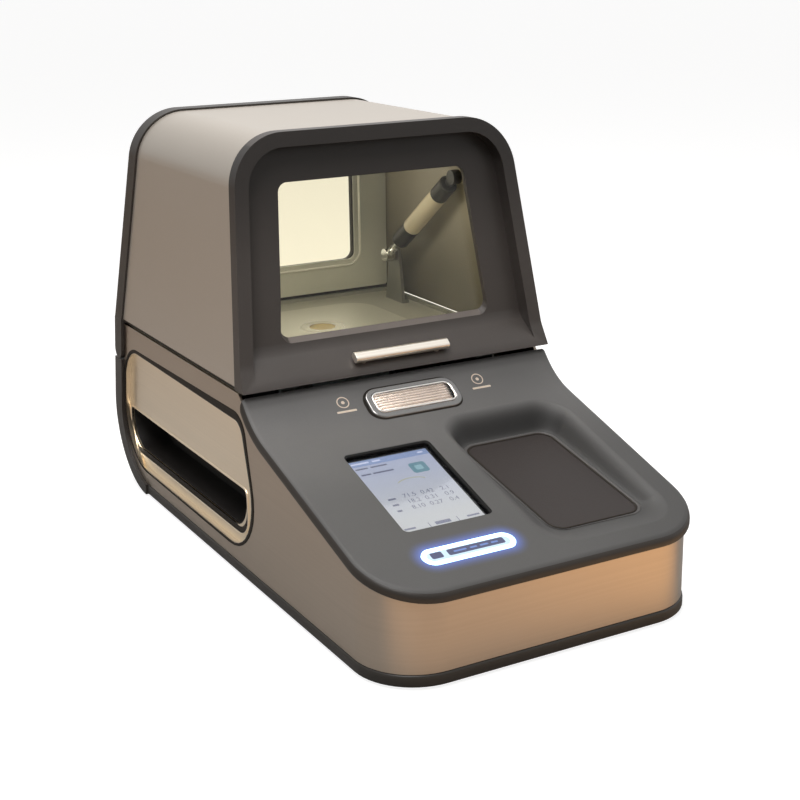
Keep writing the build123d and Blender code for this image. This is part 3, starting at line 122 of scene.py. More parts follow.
def axes(tree, kind="Object"):
    """X, Y and Z of the point that is shaded, or of its normal."""
    spot = node(tree, "ShaderNodeTexCoord")
    return node(tree, "ShaderNodeSeparateXYZ", [(0, spot.outputs[kind])]).outputs


def blank(name):
    """A new material, its node tree and its main shader."""
    material = bpy.data.materials.new(name)
    material.use_nodes = True
    return material, material.node_tree, material.node_tree.nodes["Principled BSDF"]


camera = placed("camera", bpy.data.cameras.new("camera"))
bpy.context.scene.camera = camera
camera.data.lens = 66.7
camera.data.sensor_width = 36.0
camera_place = (-0.4860, -0.90047, 0.42051)
heading, dip, bank = 0.5101, 0.2989, -0.0139
ahead = Vector((sin(heading) * cos(dip), cos(heading) * cos(dip), -sin(dip)))
level = Vector((cos(heading), -sin(heading), 0))
over = level.cross(ahead)
across_view = cos(bank) * level + sin(bank) * over
up_view = cos(bank) * over - sin(bank) * level
camera.matrix_world = Matrix.Translation(camera_place) @ Matrix(
    (across_view, up_view, -ahead)).transposed().to_4x4()

soft_light("top_light", (0.0, 0.25, 1.7), (0, 0, 0.2), 1.0, 18, (1.0, 0.985, 0.97))
soft_light("left_light", (-0.60, -0.62, 1.45), (0, -0.05, 0.1), 0.7, 13, (1.0, 0.985, 0.98))
soft_light("key_light", (0.95, -1.35, 0.95), (0, 0, 0.08), 0.9, 0.5, (1.0, 0.93, 0.85))
soft_light("chamber_light", (0.0, 0.06, 0.285), (0, 0.06, 0.13), 0.06, 0.11, (1.0, 0.96, 0.87))

world = bpy.data.worlds.new("room")
bpy.context.scene.world = world
world.use_nodes = True
tree = world.node_tree
tree.nodes.clear()
room = node(tree, "ShaderNodeBackground", [("Color", (0.96, 0.95, 0.93, 1)), ("Strength", 0.20)])
seen = node(tree, "ShaderNodeBackground", [("Color", (1, 1, 1, 1)), ("Strength", 1.0)])
ray = node(tree, "ShaderNodeLightPath").outputs
# the room that polished faces mirror is dimmer on the left and low in front
toward = axes(tree, "Generated")
share = reckoned(tree, "MULTIPLY", ramped(tree, toward["X"], -0.45, 0.30, 0.42, 0.84, "LINEAR"),
                 ramped(tree, toward["Y"], -0.95, -0.45, 0.50, 1.0, "LINEAR"))
mirrored = reckoned(tree, "MULTIPLY_ADD", ray["Is Glossy Ray"], share, ray["Is Camera Ray"])
bright_share = reckoned(tree, "MAXIMUM", mirrored, ray["Is Transmission Ray"])
mix = node(tree, "ShaderNodeMixShader",
           [(0, bright_share), (1, room.outputs[0]), (2, seen.outputs[0])])
node(tree, "ShaderNodeOutputWorld", [(0, mix.outputs[0])])

bpy.ops.mesh.primitive_plane_add(size=40.0)
bench = bpy.context.object
bench.name = "bench_top"
paint, tree, shader = blank("bench_white")
shader.inputs["Base Color"].default_value = (0.38, 0.375, 0.37, 1)
shader.inputs["Roughness"].default_value = 0.9
shader.inputs["Specular IOR Level"].default_value = 0.1
ray = node(tree, "ShaderNodeLightPath").outputs
direct = reckoned(tree, "MAXIMUM", ray["Is Camera Ray"], ray["Is Transmission Ray"])
lift = reckoned(tree, "MULTIPLY", direct, 0.86)
only_mirrored = reckoned(tree, "SUBTRACT", ray["Is Glossy Ray"], ray["Is Transmission Ray"],
                         clamp=True)
# a painted warm glow lies on the bench ahead of the base, stronger to the right, seen only in
# reflections
where = axes(tree)
warm = only_mirrored
for way, start, end, low, high in (
        ("X", -0.045, 0.19, 0.50, 1.38), ("X", -0.50, -0.25, 0.5, 1.0), ("X", 0.20, 0.34, 1.0, 0.5),
        ("Y", -0.20, -0.30, 0.0, 1.0), ("Y", -0.60, -1.00, 1.0, 0.0)):
    warm = reckoned(tree, "MULTIPLY", warm, ramped(tree, where[way], start, end, low, high))
hue = node(tree, "ShaderNodeMix",
           [(0, only_mirrored), (6, (1, 1, 1, 1)), (7, (1.0, 0.52, 0.16, 1))], data_type="RGBA")
# and a faint white one to the left of it
beside = ramped(tree, where["X"], -0.15, -0.55, 0.0, 0.21, "LINEAR")
pale = reckoned(tree, "MULTIPLY_ADD", only_mirrored, beside, lift)
tree.links.new(reckoned(tree, "ADD", warm, pale), shader.inputs["Emission Strength"])
tree.links.new(hue.outputs[2], shader.inputs["Emission Color"])
bench.data.materials.append(paint)


# ---- Bottom trim ----
# A black extruded bead that runs round the front and sides under the wrap.  It is moulded in
# matt nylon, with rounded edges, and is clipped over the edge of the pan.

FRONT_Y, UNDER_Z = 226.2656, 2.0    # from the trim's front lower edge to the frame's origin
HALF_WIDTH, CORNER_R = 120.0, 41.5  # of the wrap, in plan


def here(x, y, z):
    """Millimetres from the base's front lower edge, as a point in the frame."""
    return Vector((x, y - FRONT_Y, z + UNDER_Z)) / 1000


def effect(name, inputs, outputs):
    """Empty shader node group with its sockets."""
    group = bpy.data.node_groups.new(name, "ShaderNodeTree")
    for label, kind, value in inputs:
        socket = group.interface.new_socket(name=label, in_out="INPUT", socket_type=kind)
        socket.default_value = value
    for label, kind in outputs:
        group.interface.new_socket(name=label, in_out="OUTPUT", socket_type=kind)
    return group, group.nodes.new("NodeGroupInput"), group.nodes.new("NodeGroupOutput")


def scaled(tree, colour, by):
    """Colour made darker or lighter by a factor."""
    return node(tree, "ShaderNodeVectorMath", [(0, colour), ("Scale", by)],
                operation="SCALE").outputs[0]


def wandering(tree, gloss, fac, by):
    """Gloss that falls and rises by an amount as fac goes from 0 to 1."""
    return reckoned(tree, "ADD", ramped(tree, fac, 0.0, 1.0, -by, by, "LINEAR"), gloss)


# spark-eroded grain of a moulding: fine pits, with slow changes of tone and gloss
grain, given, made = effect(
    "moulded_grain",
    [("Colour", "NodeSocketColor", (0.1, 0.1, 0.1, 1)), ("Gloss", "NodeSocketFloat", 0.5),
     ("Grain per metre", "NodeSocketFloat", 2200.0)],
    [("Colour", "NodeSocketColor"), ("Roughness", "NodeSocketFloat"),
     ("Height", "NodeSocketFloat")])
spot = node(grain, "ShaderNodeTexCoord").outputs["Object"]
pits = node(grain, "ShaderNodeTexNoise",
            [("Vector", spot), ("Scale", given.outputs["Grain per metre"]), ("Detail", 3.0),
             ("Roughness", 0.6)]).outputs[0]
cloud = node(grain, "ShaderNodeTexNoise",
             [("Vector", spot), ("Scale", 14.0), ("Detail", 4.0), ("Roughness", 0.55)]).outputs[0]
both_tones = reckoned(grain, "MULTIPLY_ADD", cloud, 0.55, reckoned(grain, "MULTIPLY", pits, 0.45))
shade = ramped(grain, both_tones, 0.0, 1.0, 0.72, 1.28, "LINEAR")
grain.links.new(scaled(grain, given.outputs["Colour"], shade), made.inputs["Colour"])
grain.links.new(wandering(grain, given.outputs["Gloss"], cloud, 0.09), made.inputs["Roughness"])
grain.links.new(pits, made.inputs["Height"])


def surfaced(tree, shader, group, values, strength, depth):
    """Feeds a shader with an effect's colour, roughness and height."""
    fine = node(tree, "ShaderNodeGroup", node_tree=group)
    for label, value in values:
        fine.inputs[label].default_value = value
    bump = node(tree, "ShaderNodeBump", [("Height", fine.outputs["Height"]),
                                         ("Strength", strength), ("Distance", depth)])
    tree.links.new(fine.outputs["Colour"], shader.inputs["Base Color"])
    tree.links.new(fine.outputs["Roughness"], shader.inputs["Roughness"])
    tree.links.new(bump.outputs[0], shader.inputs["Normal"])


def moulding(name, colour, gloss, depth=0.00008, per_metre=2200.0, level=0.5):
    """Moulded plastic with spark-eroded grain."""
    material, tree, shader = blank(name)
    shader.inputs["Specular IOR Level"].default_value = level
    surfaced(tree, shader, grain,
             [("Colour", (*colour, 1)), ("Gloss", gloss), ("Grain per metre", per_metre)],
             0.5, depth)
    return material


def finished(name, points, faces, material, body, stands_for=(), sharp=40):
    """A mesh piece, smooth but for edges over an angle, riding on its body."""
    mesh = bpy.data.meshes.new(name)
    mesh.from_pydata([tuple(p) for p in points], [], faces)
    tidy = bmesh.new()
    tidy.from_mesh(mesh)
    bmesh.ops.remove_doubles(tidy, verts=tidy.verts, dist=1e-6)
    bmesh.ops.recalc_face_normals(tidy, faces=tidy.faces)
    tidy.to_mesh(mesh)
    tidy.free()
    mesh.shade_smooth()
    mesh.set_sharp_from_angle(angle=radians(sharp))
    mesh.materials.append(material)
    made = placed(name, mesh)
    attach(made, body)
    if stands_for:
        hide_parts(*stands_for)
    return made


def joined(rings):
    """All the points of the rings in one list."""
    return [p for ring in rings for p in ring]


def strips(rings, closed=False, start=0):
    """Faces between rings of equal count, numbered from start."""
    count = len(rings[0])
    faces = []
    for r in range(len(rings) - 1):
        for i in range(count if closed else count - 1):
            j = (i + 1) % count
            a, b = start + r * count, start + (r + 1) * count
            faces.append((a + i, a + j, b + j, b + i))
    return faces


def round_front(grow, rear, side_stops=(), steps=14):
    """U-shaped line round the base in plan, grown outwards: right rear, front, left rear."""
    half, radius = HALF_WIDTH + grow, CORNER_R + grow
    right = [(half, rear)] + [(half, y) for y in side_stops]
    right += [(half - radius + radius * cos(a), CORNER_R - radius * sin(a))
              for a in [i * pi / 2 / steps for i in range(steps + 1)]]
    return right + [(-x, y) for x, y in right[::-1]]


TRIM_END_Y = 394.9
trim_section = ((7.0, 0.0), (1.6, 0.0), (0.7, 0.25), (0.2, 0.8), (0.0, 1.7), (0.0, 6.0),
                (0.2, 7.1), (0.7, 7.75), (1.6, 8.0), (7.0, 8.0), (7.0, 0.0))  # inward, up
rings = [[here(x, y, z) for x, y in round_front(-inward, TRIM_END_Y)]
         for inward, z in trim_section]
faces = strips(rings)
count = len(rings[0])
for end in (0, count - 1):
    faces.append([r * count + end for r in range(len(rings) - 1)])
trim_black = moulding("trim_nylon", (0.024, 0.020, 0.016), 0.42)
finished("bottom_trim_bead", joined(rings), faces, trim_black, "base", ["bottom_trim"])


# ---- Pan, case screws and feet ----
# A zinc-plated pan closes the underside.  Pan-head screws hold it to the chassis, and four
# rubber feet are pressed through it.

def dress(names, material):
    """Gives CAD pieces their material."""
    for name in names:
        mesh = nodes[name].data
        mesh.materials.clear()
        mesh.materials.append(material)


# rolled and brushed metal: long fine scratches across one axis, and slow changes of gloss
brush, given, made = effect(
    "brushed_metal",
    [("Colour", "NodeSocketColor", (0.5, 0.5, 0.5, 1)), ("Gloss", "NodeSocketFloat", 0.35),
     ("Stretch", "NodeSocketVector", (4.0, 4.0, 900.0)), ("Streaks", "NodeSocketFloat", 0.2)],
    [("Colour", "NodeSocketColor"), ("Roughness", "NodeSocketFloat"),
     ("Height", "NodeSocketFloat")])
spot = node(brush, "ShaderNodeTexCoord").outputs["Object"]
long_way = node(brush, "ShaderNodeVectorMath", [(0, spot), (1, given.outputs["Stretch"])],
                operation="MULTIPLY").outputs[0]
lines = node(brush, "ShaderNodeTexNoise",
             [("Vector", long_way), ("Scale", 1.0), ("Detail", 5.0),
              ("Roughness", 0.65)]).outputs[0]
cloud = node(brush, "ShaderNodeTexNoise",
             [("Vector", spot), ("Scale", 9.0), ("Detail", 3.0)]).outputs[0]
shade = ramped(brush, lines, 0.0, 1.0, reckoned(brush, "SUBTRACT", 1.0, given.outputs["Streaks"]),
               reckoned(brush, "ADD", 1.0, given.outputs["Streaks"]), "LINEAR")
brush.links.new(scaled(brush, given.outputs["Colour"], shade), made.inputs["Colour"])
brush.links.new(wandering(brush, given.outputs["Gloss"], cloud, 0.05), made.inputs["Roughness"])
brush.links.new(lines, made.inputs["Height"])


def brushed(name, colour, gloss, stretch=(4.0, 4.0, 900.0), metal=1.0, streaks=0.12, coat=0.0,
            drawn=0.0):
    """Metal with brushing lines; drawn stretches its highlights across the lines."""
    material, tree, shader = blank(name)
    for label, value in (("Metallic", metal), ("Coat Weight", coat), ("Coat Roughness", 0.2),
                         ("Anisotropic", drawn), ("Anisotropic Rotation", 0.25)):
        shader.inputs[label].default_value = value
    surfaced(tree, shader, brush, [("Colour", (*colour, 1)), ("Gloss", gloss),
                                   ("Stretch", stretch), ("Streaks", streaks)], 0.3, 0.00001)
    if drawn:
        turn = node(tree, "ShaderNodeTangent", direction_type="RADIAL", axis="Z")
        tree.links.new(turn.outputs[0], shader.inputs["Tangent"])
    return material


zinc_sheet = brushed("zinc_sheet", (0.46, 0.46, 0.45), 0.42, (300.0, 3.0, 3.0))
dress(["base_pan"], zinc_sheet)
bright_screw = brushed("bright_screw", (0.62, 0.62, 0.60), 0.28)
dress(["case_screws"], bright_screw)
rubber = moulding("foot_rubber", (0.018, 0.017, 0.016), 0.75, 0.00012, 1500.0)
dress(["rubber_feet"], rubber)


# ---- Wrap ----
# Stainless sheet bent round the front and both sides in one piece, brushed lengthways and
# lacquered a warm tone.  Its edges are tucked under the console and the trim.

dress(["base_wrap"], brushed("wrap_stainless", (0.46, 0.39, 0.32), 0.34, (2.0, 2.0, 900.0), 1.0,
                             0.07, 0.0, 0.75))


# ---- Grips ----
# A pressed champagne-coloured panel is set into each side, sealed with a black rubber bead widened
# as a painted shadow.
# Its long slot for the fingers has a rolled lip, a black rubber edging inside the lip, widest below
# as a painted shadow, and a black moulded pocket behind.

def filleted(corners, radii, steps=8):
    """Closed line with rounded corners, through corners of any angle."""
    line = []
    count = len(corners)
    for i, radius in enumerate(radii):
        corner, back, on = (Vector(corners[k % count]) for k in (i, i - 1, i + 1))
        u, v = (back - corner).normalized(), (on - corner).normalized()
        half = u.angle(v) / 2
        centre = corner + (u + v).normalized() * radius / sin(half)
        start = corner + u * radius / tan(half) - centre
        sweep = start.angle_signed(corner + v * radius / tan(half) - centre)
        for k in range(steps + 1):
            a = -sweep * k / steps
            line.append((centre.x + start.x * cos(a) - start.y * sin(a),
                         centre.y + start.x * sin(a) + start.y * cos(a)))
    return line


def oval(wide, high, out_by=0.0, up_by=0.0):
    """Twelve points (out, up) round the section of a bead."""
    return [(out_by + wide * cos(i * pi / 6), up_by + high * sin(i * pi / 6)) for i in range(12)]


def beaded(name, path, section, material, body, place, swell=None):
    """A closed bead: its section (out, up) is carried round a flat path and put in place."""
    count = len(path)
    rings = []
    for out_by, up_by in section:
        ring = []
        for i, (x, y) in enumerate(path):
            before, after = path[i - 1], path[(i + 1) % count]
            way = Vector((after[0] - before[0], after[1] - before[1])).normalized()
            if swell:
                way *= swell(x, y)
            ring.append(place(x + way.y * out_by, y - way.x * out_by, up_by))
        rings.append(ring)
    rings.append(rings[0])
    return finished(name, joined(rings), strips(rings, True), material, body, ())


REAR_Y, SEAM_Z, REAR_LEAN = 442.4, 135.0, 0.17993  # rear face at the hood's seam, and its lean
GRIP_REAR = 17.0                                   # from the grip's panel to the rear face
GRIP_LOW, GRIP_TOP = 18.5, 115.0


def rear_at(z):
    """How far back the rear face stands at a height."""
    return REAR_Y - (z - SEAM_Z) * REAR_LEAN


def share_of(value, start, span):
    """How far a value is past the start of a span, from 0 to 1."""
    return min(max((value - start) / span, 0.0), 1.0)


def seal_and_shadow_width(y, z):
    """The seal is thickest above the panel and ahead of it, and thin below and behind; its extra
    width is a painted shadow of the panel's recess.
    """
    thick = 0.45 + 0.75 * share_of(z, 20.0, 25.0) + 0.45 * share_of(z, 80.0, 30.0)
    return thick * (1.0 - 0.55 * share_of(y, 320.0, 70.0))


grip_line = filleted([(200.0, GRIP_TOP), (rear_at(GRIP_TOP) - GRIP_REAR, GRIP_TOP),
                      (rear_at(GRIP_LOW) - GRIP_REAR, GRIP_LOW), (175.0, GRIP_LOW)],
                     (14.0, 32.0, 42.0, 42.0), 10)
slot_line = filleted([(206.0, 63.0), (434.0, 63.0), (434.0, 32.0), (206.0, 32.0)],
                     (6.0, 6.0, 15.4, 15.4), 8)
wide_slot = filleted([(203.5, 63.6), (436.0, 63.6), (436.0, 26.8), (203.5, 26.8)],
                     (6.0, 6.0, 17.0, 17.0), 8)
seal_rubber = moulding("seal_rubber", (0.020, 0.015, 0.011), 0.6, 0.00005, 2500.0, 0.2)
champagne = brushed("grip_champagne", (0.92, 0.80, 0.63), 0.30, (2.0, 2.0, 600.0), 1.0, 0.06,
                    0.0, 0.5)
dress(["grip_panel_left", "grip_panel_right"], champagne)
dress(["grip_pockets"], moulding("pocket_black", (0.010, 0.008, 0.007), 0.55))
for side, label in ((-1, "left"), (1, "right")):
    on_wrap = lambda y, z, up, side=side: here(side * (119.0 + up), y, z)
    on_panel = lambda y, z, up, side=side: here(side * (115.0 + up), y, z)
    # painted shadow: the black seal is widened above and ahead of the panel
    beaded("grip_seal_" + label, grip_line, oval(2.2, 0.8, -0.9, -0.3), seal_rubber, "base",
           on_wrap, seal_and_shadow_width)
    beaded("slot_lip_" + label, wide_slot, oval(0.8, 0.7, 0.0, 0.1), champagne, "base",
           on_panel)
    # painted shadow: the black edging on the panel is widest below the slot
    rings = [[on_panel(y, z, up) for y, z in line]
             for line, up in ((slot_line, -1.0), (slot_line, 0.14), (wide_slot, 0.14))]
    finished("slot_edging_" + label, joined(rings), strips(rings, True), seal_rubber, "base", ())


# ---- Rear moulding, connectors and fan ----
# A black moulding turns up from the floor behind the wrap.  In its bay are the mains inlet,
# the rocker switch, the data ports and a fan behind a pierced grille.

def as_mesh(thing):
    """The object's mesh with its modifiers applied.  The object is then removed."""
    bpy.context.view_layer.update()
    seen_by = bpy.context.evaluated_depsgraph_get()
    mesh = bpy.data.meshes.new_from_object(thing.evaluated_get(seen_by))
    bpy.data.objects.remove(thing)
    return mesh


def softened(name, width, material, steps=3, sharp=35, share=None):
    """A CAD piece with its sharp edges rolled over by a share of the width, shown in its place."""
    source = nodes[name]
    mesh = source.data.copy()
    mesh.transform(source.matrix_world)
    tidy = bmesh.new()
    tidy.from_mesh(mesh)
    bmesh.ops.remove_doubles(tidy, verts=tidy.verts, dist=2e-6)
    bmesh.ops.dissolve_limit(tidy, angle_limit=radians(0.5), verts=tidy.verts, edges=tidy.edges)
    bmesh.ops.recalc_face_normals(tidy, faces=tidy.faces)
    weights = tidy.edges.layers.float.new("bevel_weight_edge")
    for edge in tidy.edges:
        if len(edge.link_faces) == 2 and edge.calc_face_angle() > radians(sharp):
            middle = (edge.verts[0].co + edge.verts[1].co) * 500 + Vector((0, FRONT_Y, -UNDER_Z))
            edge[weights] = share(middle) if share else 1.0
    plain = bpy.data.meshes.new(name + "_plain")
    tidy.to_mesh(plain)
    tidy.free()
    plain.shade_smooth()
    rough = placed(name + "_plain", plain)
    roll = rough.modifiers.new("roll", "BEVEL")
    roll.limit_method = "WEIGHT"
    roll.width = width / 1000
    roll.segments = steps
    roll.use_clamp_overlap = True
    even = rough.modifiers.new("even", "WEIGHTED_NORMAL")
    even.weight = 100
    even.keep_sharp = True
    mesh = as_mesh(rough)
    mesh.name = name + "_soft"
    mesh.materials.clear()
    mesh.materials.append(material)
    made = placed(name + "_soft", mesh)
    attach(made, body_of(source)[0])
    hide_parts(name)
    return made


shell_black = moulding("shell_black", (0.034, 0.029, 0.025), 0.44)
softened("rear_shell", 1.6, shell_black)
dress(["rear_panel"], zinc_sheet)
connector_black = moulding("connector_black", (0.02, 0.02, 0.02), 0.4, 0.00005, 3000.0)
dress(["power_inlet", "power_switch_body", "port_block", "fan_housing", "fan_impeller"],
      connector_black)


def repeated(name, unit, places, material, body):
    """Copies of a small mesh on points, each turned so that its top faces one way."""
    dots = bpy.data.meshes.new(name + "_places")
    dots.from_pydata([tuple(p) for p, _ in places], [], [])
    turned = dots.attributes.new("turn", "FLOAT_VECTOR", "POINT")
    for i, (_, way) in enumerate(places):
        turned.data[i].vector = Vector(way).to_track_quat("Z", "Y").to_euler()
    holder, sample = placed(name + "_places", dots), placed(name + "_one", unit)
    tree = bpy.data.node_groups.new(name, "GeometryNodeTree")
    tree.interface.new_socket(name="Geometry", in_out="INPUT", socket_type="NodeSocketGeometry")
    tree.interface.new_socket(name="Geometry", in_out="OUTPUT", socket_type="NodeSocketGeometry")
    given = tree.nodes.new("NodeGroupInput")
    made = tree.nodes.new("NodeGroupOutput")
    spots = node(tree, "GeometryNodeMeshToPoints", [("Mesh", given.outputs[0])])
    source = node(tree, "GeometryNodeObjectInfo", [("Object", sample)])
    turn = node(tree, "GeometryNodeInputNamedAttribute", [("Name", "turn")],
                data_type="FLOAT_VECTOR")
    turn = node(tree, "FunctionNodeEulerToRotation", [(0, turn.outputs[0])])
    copies = node(tree, "GeometryNodeInstanceOnPoints",
                  [("Points", spots.outputs[0]), ("Instance", source.outputs["Geometry"]),
                   ("Rotation", turn.outputs[0])])
    real = node(tree, "GeometryNodeRealizeInstances", [(0, copies.outputs[0])])
    coat = node(tree, "GeometryNodeSetMaterial",
                [("Geometry", real.outputs[0]), ("Material", material)])
    tree.links.new(coat.outputs[0], made.inputs[0])
    grow = holder.modifiers.new("copies", "NODES")
    grow.node_group = tree
    mesh = as_mesh(holder)
    bpy.data.objects.remove(sample)
    result = placed(name, mesh)
    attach(result, body)


def screw_head(radius, proud):
    """Domed screw head with a six-sided socket, standing on its underside."""
    profile = [(1.0, 0.0), (1.0, 0.35), (0.93, 0.7), (0.75, 0.93), (0.55, 1.0)]
    angles = [i * pi / 12 for i in range(24)]
    rings = [[(r * radius * cos(a), r * radius * sin(a), z * proud) for a in angles]
             for r, z in profile]
    key = [0.42 * radius / cos((i % 4 - 2) * pi / 12) for i in range(24)]
    for z in (1.0, 0.35):
        rings.append([(k * cos(a), k * sin(a), z * proud) for k, a in zip(key, angles)])
    points = [tuple(c / 1000 for c in p) for p in joined(rings)]
    socket_floor = tuple(range(len(points) - 24, len(points)))
    faces = strips(rings, True) + [socket_floor, tuple(range(23, -1, -1))]
    mesh = bpy.data.meshes.new("screw_head")
    mesh.from_pydata(points, [], faces)
    mesh.shade_smooth()
    mesh.set_sharp_from_angle(angle=radians(35))
    return mesh


BAY_FACE_Y = 418.05
FAN_X, FAN_Z = -44.0, 51.0
black_screw = brushed("black_screw", (0.07, 0.07, 0.07), 0.32, (40.0, 40.0, 40.0), 0.9, 0.05)
places = [(x, z) for x in (-75.0, 75.0) for z in (21.0, 81.0)]
places += [(FAN_X + dx, FAN_Z + dz) for dx in (-25.0, 25.0) for dz in (-25.0, 25.0)]
repeated("panel_screws", screw_head(2.7, 1.6),
         [(here(x, BAY_FACE_Y, z), (0, 1, 0)) for x, z in places],
         black_screw, "base")
dress(["power_rocker"], moulding("rocker_black", (0.03, 0.03, 0.03), 0.3, 0.00003, 4000.0))


# ---- Console deck ----
# One large grey moulding: a lip rolls over the top of the wrap, the slope carries display, lamp and
# light bar, and a soft tray is sunk in its right half.  Its lip is coloured near-black as painted
# shade.

SLOPE, RISE = radians(16.86), radians(49.5)
KINK_Y, KINK_Z, CURVE_R = 177.3, 114.94, 62.0
KINK_S = KINK_Y / cos(SLOPE)
RUN_IN = CURVE_R * tan((RISE - SLOPE) / 2)
ARC_S = KINK_S - RUN_IN
ARC_END_S = ARC_S + CURVE_R * (RISE - SLOPE)
ARC_Y, ARC_Z = KINK_Y - RUN_IN * cos(SLOPE), KINK_Z - RUN_IN * sin(SLOPE)
ARC_END_Y = KINK_Y + RUN_IN * cos(RISE)
ARC_END_Z = KINK_Z + RUN_IN * sin(RISE)


def deck_at(s):
    """Side view of the deck at a distance up its surface: y, z and slope."""
    if s < ARC_S:
        return ARC_Y + (s - ARC_S) * cos(SLOPE), ARC_Z + (s - ARC_S) * sin(SLOPE), SLOPE
    if s < ARC_END_S:
        lean = SLOPE + (s - ARC_S) / CURVE_R
        return (ARC_Y + CURVE_R * (sin(lean) - sin(SLOPE)),
                ARC_Z + CURVE_R * (cos(SLOPE) - cos(lean)), lean)
    return (ARC_END_Y + (s - ARC_END_S) * cos(RISE), ARC_END_Z + (s - ARC_END_S) * sin(RISE), RISE)


def up_deck(y):
    """Distance up the deck's surface over a place in plan."""
    if y < ARC_Y:
        return ARC_S + (y - ARC_Y) / cos(SLOPE)
    if y < ARC_END_Y:
        return ARC_S + CURVE_R * (asin((y - ARC_Y) / CURVE_R + sin(SLOPE)) - SLOPE)
    return ARC_END_S + (y - ARC_END_Y) / cos(RISE)


def on_deck(x, s, depth=0.0):
    """A point at a distance up the deck's surface, below it by depth."""
    y, z, lean = deck_at(s)
    return here(x, y + depth * sin(lean), z - depth * cos(lean))


def rounded(cx, cy, width, height, radius, grow=0.0, steps=8):
    """Rounded rectangle, anticlockwise, grown outwards."""
    w, h, r = width / 2 + grow, height / 2 + grow, max(radius + grow, 0.01)
    line = []
    for k, (sx, sy) in enumerate(((1, 1), (-1, 1), (-1, -1), (1, -1))):
        for i in range(steps + 1):
            a = (k + i / steps) * pi / 2
            line.append((cx + sx * (w - r) + r * cos(a), cy + sy * (h - r) + r * sin(a)))
    return line


def stretched(line, gap):
    """The line with extra points, so that no two are further apart than gap."""
    full = []
    for a, b in zip(line, line[1:] + line[:1]):
        steps = max(1, int(((a[0] - b[0]) ** 2 + (a[1] - b[1]) ** 2) ** 0.5 / gap + 0.999))
        full += [(a[0] + (b[0] - a[0]) * i / steps, a[1] + (b[1] - a[1]) * i / steps)
                 for i in range(steps)]
    return full


def inside(point, line):
    """Whether a point lies inside a closed line."""
    x, y = point
    hit = False
    for (x0, y0), (x1, y1) in zip(line, line[1:] + line[:1]):
        if (y0 > y) != (y1 > y) and x < x0 + (y - y0) * (x1 - x0) / (y1 - y0):
            hit = not hit
    return hit


DECK_END_Y = ARC_END_Y + (132.5 - ARC_END_Z) / tan(RISE)
LIP_R = 4.2
LIP_OUT = 2.4    # from the wrap to the lip's outermost edge
LIP_START = 0.5  # from the lip's roll to the flat of the deck
side_stops = [190.0, 186.0, 182.0, 178.0, 174.0, 170.0, 166.0, 162.0, 158.0, 150.0, 130.0, 110.0,
              90.0, 70.0]


def lip_ring(inward, depth):
    """Line round the deck's edge, in from its outermost edge and below the surface."""
    ring = []
    for x, y in round_front(LIP_OUT - inward, DECK_END_Y, side_stops):
        _, z, lean = deck_at(up_deck(y))
        ring.append(here(x, y, z - depth / cos(lean)))
    return ring


# middle, size and corner radius, across and up the deck
TRAY = (54.0, 88.2, 103.2, 150.0, 24.0)
SCREEN = (-44.7, 98.1, 63.9, 85.2, 3.6)
BAR = (-46.9, 29.0, 65.0, 15.0, 7.49)
LAMP_S = ARC_S + CURVE_R * (radians(33.2) - SLOPE)
LAMP = (0.0, LAMP_S, 72.0, 27.0, 10.0)
MESH_GAP = 4.0
tray_edge = lambda grow: stretched(rounded(*TRAY, grow), MESH_GAP)
screen_edge = lambda grow: rounded(*SCREEN, grow)
bar_edge = lambda grow: rounded(*BAR, grow)
lamp_edge = lambda grow: stretched(rounded(*LAMP, grow), MESH_GAP)
outer = [(x, up_deck(y))
         for x, y in round_front(LIP_OUT - LIP_R - LIP_START, DECK_END_Y, side_stops)]
# pockets: outline and how far the top ring stands off it
pockets = [(tray_edge, 0.6), (screen_edge, 0.6), (bar_edge, 0.8), (lamp_edge, 0.8)]
holes = [edge(off) for edge, off in pockets]
flat = [Vector(p) for p in outer]
loops = [list(range(len(outer)))]
for hole in holes:
    loops.append(list(range(len(flat), len(flat) + len(hole))))
    flat += [Vector(p) for p in hole]
edges = [(loop[i], loop[(i + 1) % len(loop)]) for loop in loops for i in range(len(loop))]
# points between the lines, in a grid, and clear of the points on them
STEP, CLEAR = 5.0, 3.0
drawn_points = flat[:loops[-1][-1] + 1]
for i in range(-23, 24):
    for j in range(1, 42):
        p = (i * STEP, j * STEP)
        near = min((p[0] - q[0]) ** 2 + (p[1] - q[1]) ** 2 for q in drawn_points)
        if near > CLEAR ** 2 and inside(p, outer) and not any(inside(p, hole) for hole in holes):
            flat.append(Vector(p))
laid, _, cells, _, _, _ = delaunay_2d_cdt(flat, edges, [loops[0]], 1, 1e-4)
points = [on_deck(v.x, v.y) for v in laid]
faces = []
for cell in cells:
    mid = sum((laid[i] for i in cell), Vector((0, 0))) / len(cell)
    if not any(inside(mid, hole) for hole in holes):
        faces.append(tuple(cell))


def add_rings(rings, closed, floor=False):
    """Adds rings and their strips to the deck, and a flat floor inside the last."""
    start = len(points)
    faces.extend(strips(rings, closed, start))
    for ring in rings:
        points.extend(ring)
    if floor:
        last = start + (len(rings) - 1) * len(rings[0])
        faces.append(tuple(range(last, last + len(rings[0]))))


quarter = [i * pi / 2 / 7 for i in range(8)]
lip = [lip_ring(LIP_R + LIP_START, 0.0)]
lip += [lip_ring(LIP_R * (1 - sin(a)), LIP_R * (1 - cos(a))) for a in quarter]
lip += [lip_ring(0.0, 5.6), lip_ring(0.25, 6.2), lip_ring(0.9, 6.5), lip_ring(3.2, 6.5)]
add_rings(lip, False)
for edge, off, drop, bottom in ((screen_edge, 0.6, 0.5, 2.3), (bar_edge, 0.8, 0.4, 3.0),
                                (lamp_edge, 0.8, 0.4, 3.0)):
    rings = [[on_deck(x, s) for x, s in edge(off)]]
    for turn in (0.0, pi / 4, pi / 2):
        rings.append([on_deck(x, s, drop * (1 - cos(turn)))
                      for x, s in edge(off - 0.15 - drop * sin(turn))])
    rings.append([on_deck(x, s, bottom) for x, s in edge(off - 0.2 - drop)])
    add_rings(rings, True)

